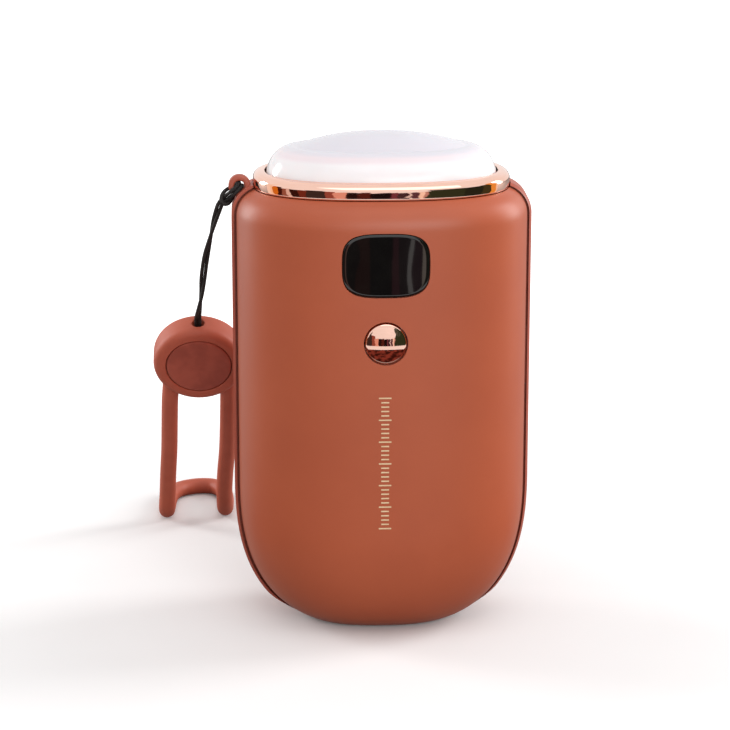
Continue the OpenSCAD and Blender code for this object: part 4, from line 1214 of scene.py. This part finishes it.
makeLoop(silicone)
knot = makeHitch(blackBraid)
puck = makePuck(silicone)
cap = makeCap(capPlastic)
makeStrand("strandLeft", "cord_strand_left", -1, blackBraid)
makeStrand("strandRight", "cord_strand_right", 1, blackBraid)
print("strap made")
makeShell("frontShell", "front_shell", -1, shellPaint)
makeShell("rearShell", "rear_shell", 1, shellPaint)
makeFrame(framePlastic)
makeRing(rosePlating)
makeLamp(milk)
makePad(padRubber)
makeWindow(smokedLens)
makeButton(rosePlating)
makeScale(scalePrint)
print("body made")


# Studio: white floor and world, soft lamps, and a surround that only shows in gloss

white = (1, 1, 1, 1)
studio = {
    "floorSize": 4,
    "worldCamera": 1.0,
    "worldDiffuse": 0.46,
    "floorBounce": (0.36, 0.345, 0.34, 1),
    "floorLift": (0.05, 0.3, 0.0, 0.7),  # near and far in metres, and the glow at each
    "lampTarget": Vector((0, 0, 0.055)),
    "lamps": [
        # name, azimuth, elevation, distance, width, height, watts
        ("top", 20, 62, 0.9, 0.8, 0.8, 1.9),
        ("right", 106, 19, 0.75, 0.25, 0.5, 3.5),
        ("left", -116, 13, 0.7, 0.2, 0.4, 2.5),
        ("front", 16, 17, 1.2, 0.7, 0.5, 6.4),
    ],
}


def makeFloor():
    bm = bmesh.new()
    bmesh.ops.create_grid(bm, x_segments=1, y_segments=1, size=studio["floorSize"] / 2)
    floor = sceneObject("floor", meshFrom("floor", bm))
    material, tree, shader = newMaterial("floorPaper")
    at = objectPlace(tree)
    paper = mixNode(tree, noiseNode(tree, at, 60.0, 3.0, 0.5), (0.96, 0.952, 0.952, 1), (0.98, 0.975, 0.975, 1))
    seen = tree.nodes.new("ShaderNodeLightPath").outputs["Is Camera Ray"]
    tree.links.new(mixNode(tree, seen, studio["floorBounce"], paper), shader.inputs["Base Color"])
    lift = rangeNode(tree, vectorNode(tree, "LENGTH", at), *studio["floorLift"])
    tree.links.new(mathNode(tree, "MULTIPLY", seen, lift), shader.inputs["Emission Strength"])
    setSockets(shader, {"Roughness": 0.9, "Specular IOR Level": 0.1, "Emission Color": white})
    floor.data.materials.append(material)


def makeWorld():
    world = bpy.data.worlds.new("studio")
    scene.world = world
    world.use_nodes = True
    tree = world.node_tree
    ground = tree.nodes["Background"]
    rays = tree.nodes.new("ShaderNodeLightPath").outputs
    seen = mathNode(tree, "MAXIMUM", mathNode(tree, "MAXIMUM", rays["Is Camera Ray"], rays["Is Glossy Ray"]),
                    rays["Is Transmission Ray"])
    diffuse = studio["worldDiffuse"]
    strength = mathNode(tree, "MULTIPLY_ADD", seen, studio["worldCamera"] - diffuse, diffuse)
    tree.links.new(strength, ground.inputs["Strength"])
    setSockets(ground, {"Color": white})


def makeLamps():
    target = studio["lampTarget"]
    for name, azimuth, elevation, distance, width, height, watts in studio["lamps"]:
        data = bpy.data.lights.new(name, "AREA")
        data.shape = "RECTANGLE"
        data.size, data.size_y = width, height
        data.energy = watts
        aimed(name, data, around(azimuth, elevation, distance, target), target)


# What gloss mirrors in front of the object: tones in steps, each up to its own height, white above
# Its floor is a rose card near the object, and white from there out to the wall
surround = {
    "radius": 235,
    "inner": 62,
    "card": 163,
    "low": 1,
    "high": 320,
    "half": 100,
    "steps": 120,
    "noise": 24.0,
    "waver": 0.14,  # the noise's span, of which these parts shift a tone sideways and its top edge
    "waverTurn": 0.18,
    "waverHigh": 0.16,
    "cardTones": (tint(60, 24, 18), tint(132, 62, 50)),
    "tones": [
        # azimuth where the tone starts, height in mm, colour
        (-100, 320, (255, 240, 226)), (-92, 160, (255, 222, 186)), (-86, 160, (214, 122, 36)),
        (-79, 160, (66, 26, 18)), (-72, 90, (150, 96, 78)), (-66, 120, (224, 200, 190)), (-60, 90, (54, 24, 18)),
        (-52, 90, (112, 50, 36)), (-43, 130, (62, 50, 46)), (-28, 90, (150, 82, 68)), (-22, 70, (228, 168, 150)),
        (-14, 68, (40, 22, 20)), (-8, 72, (84, 38, 30)), (-3, 66, (28, 18, 18)), (3, 64, (118, 62, 72)),
        (7, 62, (70, 50, 54)), (10, 62, (232, 222, 218)), (12.6, 62, (92, 60, 70)), (16, 66, (255, 232, 214)),
        (19, 70, (196, 150, 140)), (21, 200, (50, 58, 38)), (48, 190, (40, 44, 32)), (70, 210, (66, 62, 36)),
        (84, 250, (240, 166, 74)), (95, 320, (255, 232, 208)),
    ],
}


def makeSurround():
    bm = bmesh.new()
    low, wall, half = surround["low"], surround["radius"], math.radians(surround["half"])
    start = Matrix.Rotation(-half, 3, "Z")
    profile = [(surround["inner"], low), (surround["card"], low), (wall, low), (wall, surround["high"])]
    chain = [bm.verts.new(start @ Vector((0, -radius, z))) for radius, z in profile]
    edges = [bm.edges.new(pair) for pair in zip(chain, chain[1:])]
    bmesh.ops.spin(bm, geom=chain + edges, cent=(0, 0, 0), axis=(0, 0, 1), angle=2 * half,
                   steps=surround["steps"])
    bmesh.ops.scale(bm, vec=(mm, mm, mm), verts=bm.verts)
    piece = sceneObject("surround", meshFrom("surround", bm))
    piece.visible_camera = piece.visible_diffuse = piece.visible_shadow = piece.visible_transmission = False
    piece.data.materials.append(makeTones())


# The ramp over the turn holds each tone's colour, and its height in the alpha
def toneRamp(tree, part):
    shades = tree.nodes.new("ShaderNodeValToRGB")
    shades.color_ramp.interpolation = "CONSTANT"
    points = shades.color_ramp.elements
    while len(points) > 1:
        points.remove(points[-1])
    points[0].position, points[0].color = 0, white
    for azimuth, height, colour in surround["tones"]:
        points.new(azimuth / 360 + 0.5).color = (*tint(*colour)[:3], height / surround["high"])
    tree.links.new(part, shades.inputs["Fac"])
    return shades.outputs


def makeTones():
    material, tree = newMaterial("surroundTones")[:2]
    at = objectPlace(tree)
    x, y, z = axesOf(tree, at)
    span = surround["waver"]
    waver = mathNode(tree, "MULTIPLY_ADD", noiseNode(tree, at, surround["noise"], 2.0, 0.5), span, -span / 2)
    turn = mathNode(tree, "ARCTAN2", x, mathNode(tree, "MULTIPLY", y, -1.0))
    shades = toneRamp(tree, mathNode(tree, "ADD", mathNode(tree, "MULTIPLY_ADD", turn, 0.5 / math.pi, 0.5),
                                     mathNode(tree, "MULTIPLY", waver, surround["waverTurn"])))
    reach = mathNode(tree, "MULTIPLY", shades["Alpha"], surround["high"] * mm)
    limit = mathNode(tree, "MULTIPLY_ADD", waver, surround["waverHigh"], reach)
    above = mathNode(tree, "GREATER_THAN", z, limit)
    wall = mixNode(tree, above, shades["Color"], white)
    rose = mixNode(tree, rangeNode(tree, noiseNode(tree, at, 40.0, 2.0, 0.5), 0.4, 0.6), *surround["cardTones"])
    inside = mathNode(tree, "LESS_THAN", vectorNode(tree, "LENGTH", at), surround["card"] * mm)
    onFloor = mathNode(tree, "LESS_THAN", z, 2 * surround["low"] * mm)
    glow = tree.nodes.new("ShaderNodeEmission")
    tree.links.new(mixNode(tree, onFloor, wall, mixNode(tree, inside, white, rose)), glow.inputs["Color"])
    tree.links.new(glow.outputs[0], tree.nodes["Material Output"].inputs["Surface"])
    return material


makeFloor()
makeWorld()
makeLamps()
makeSurround()
print("studio set")
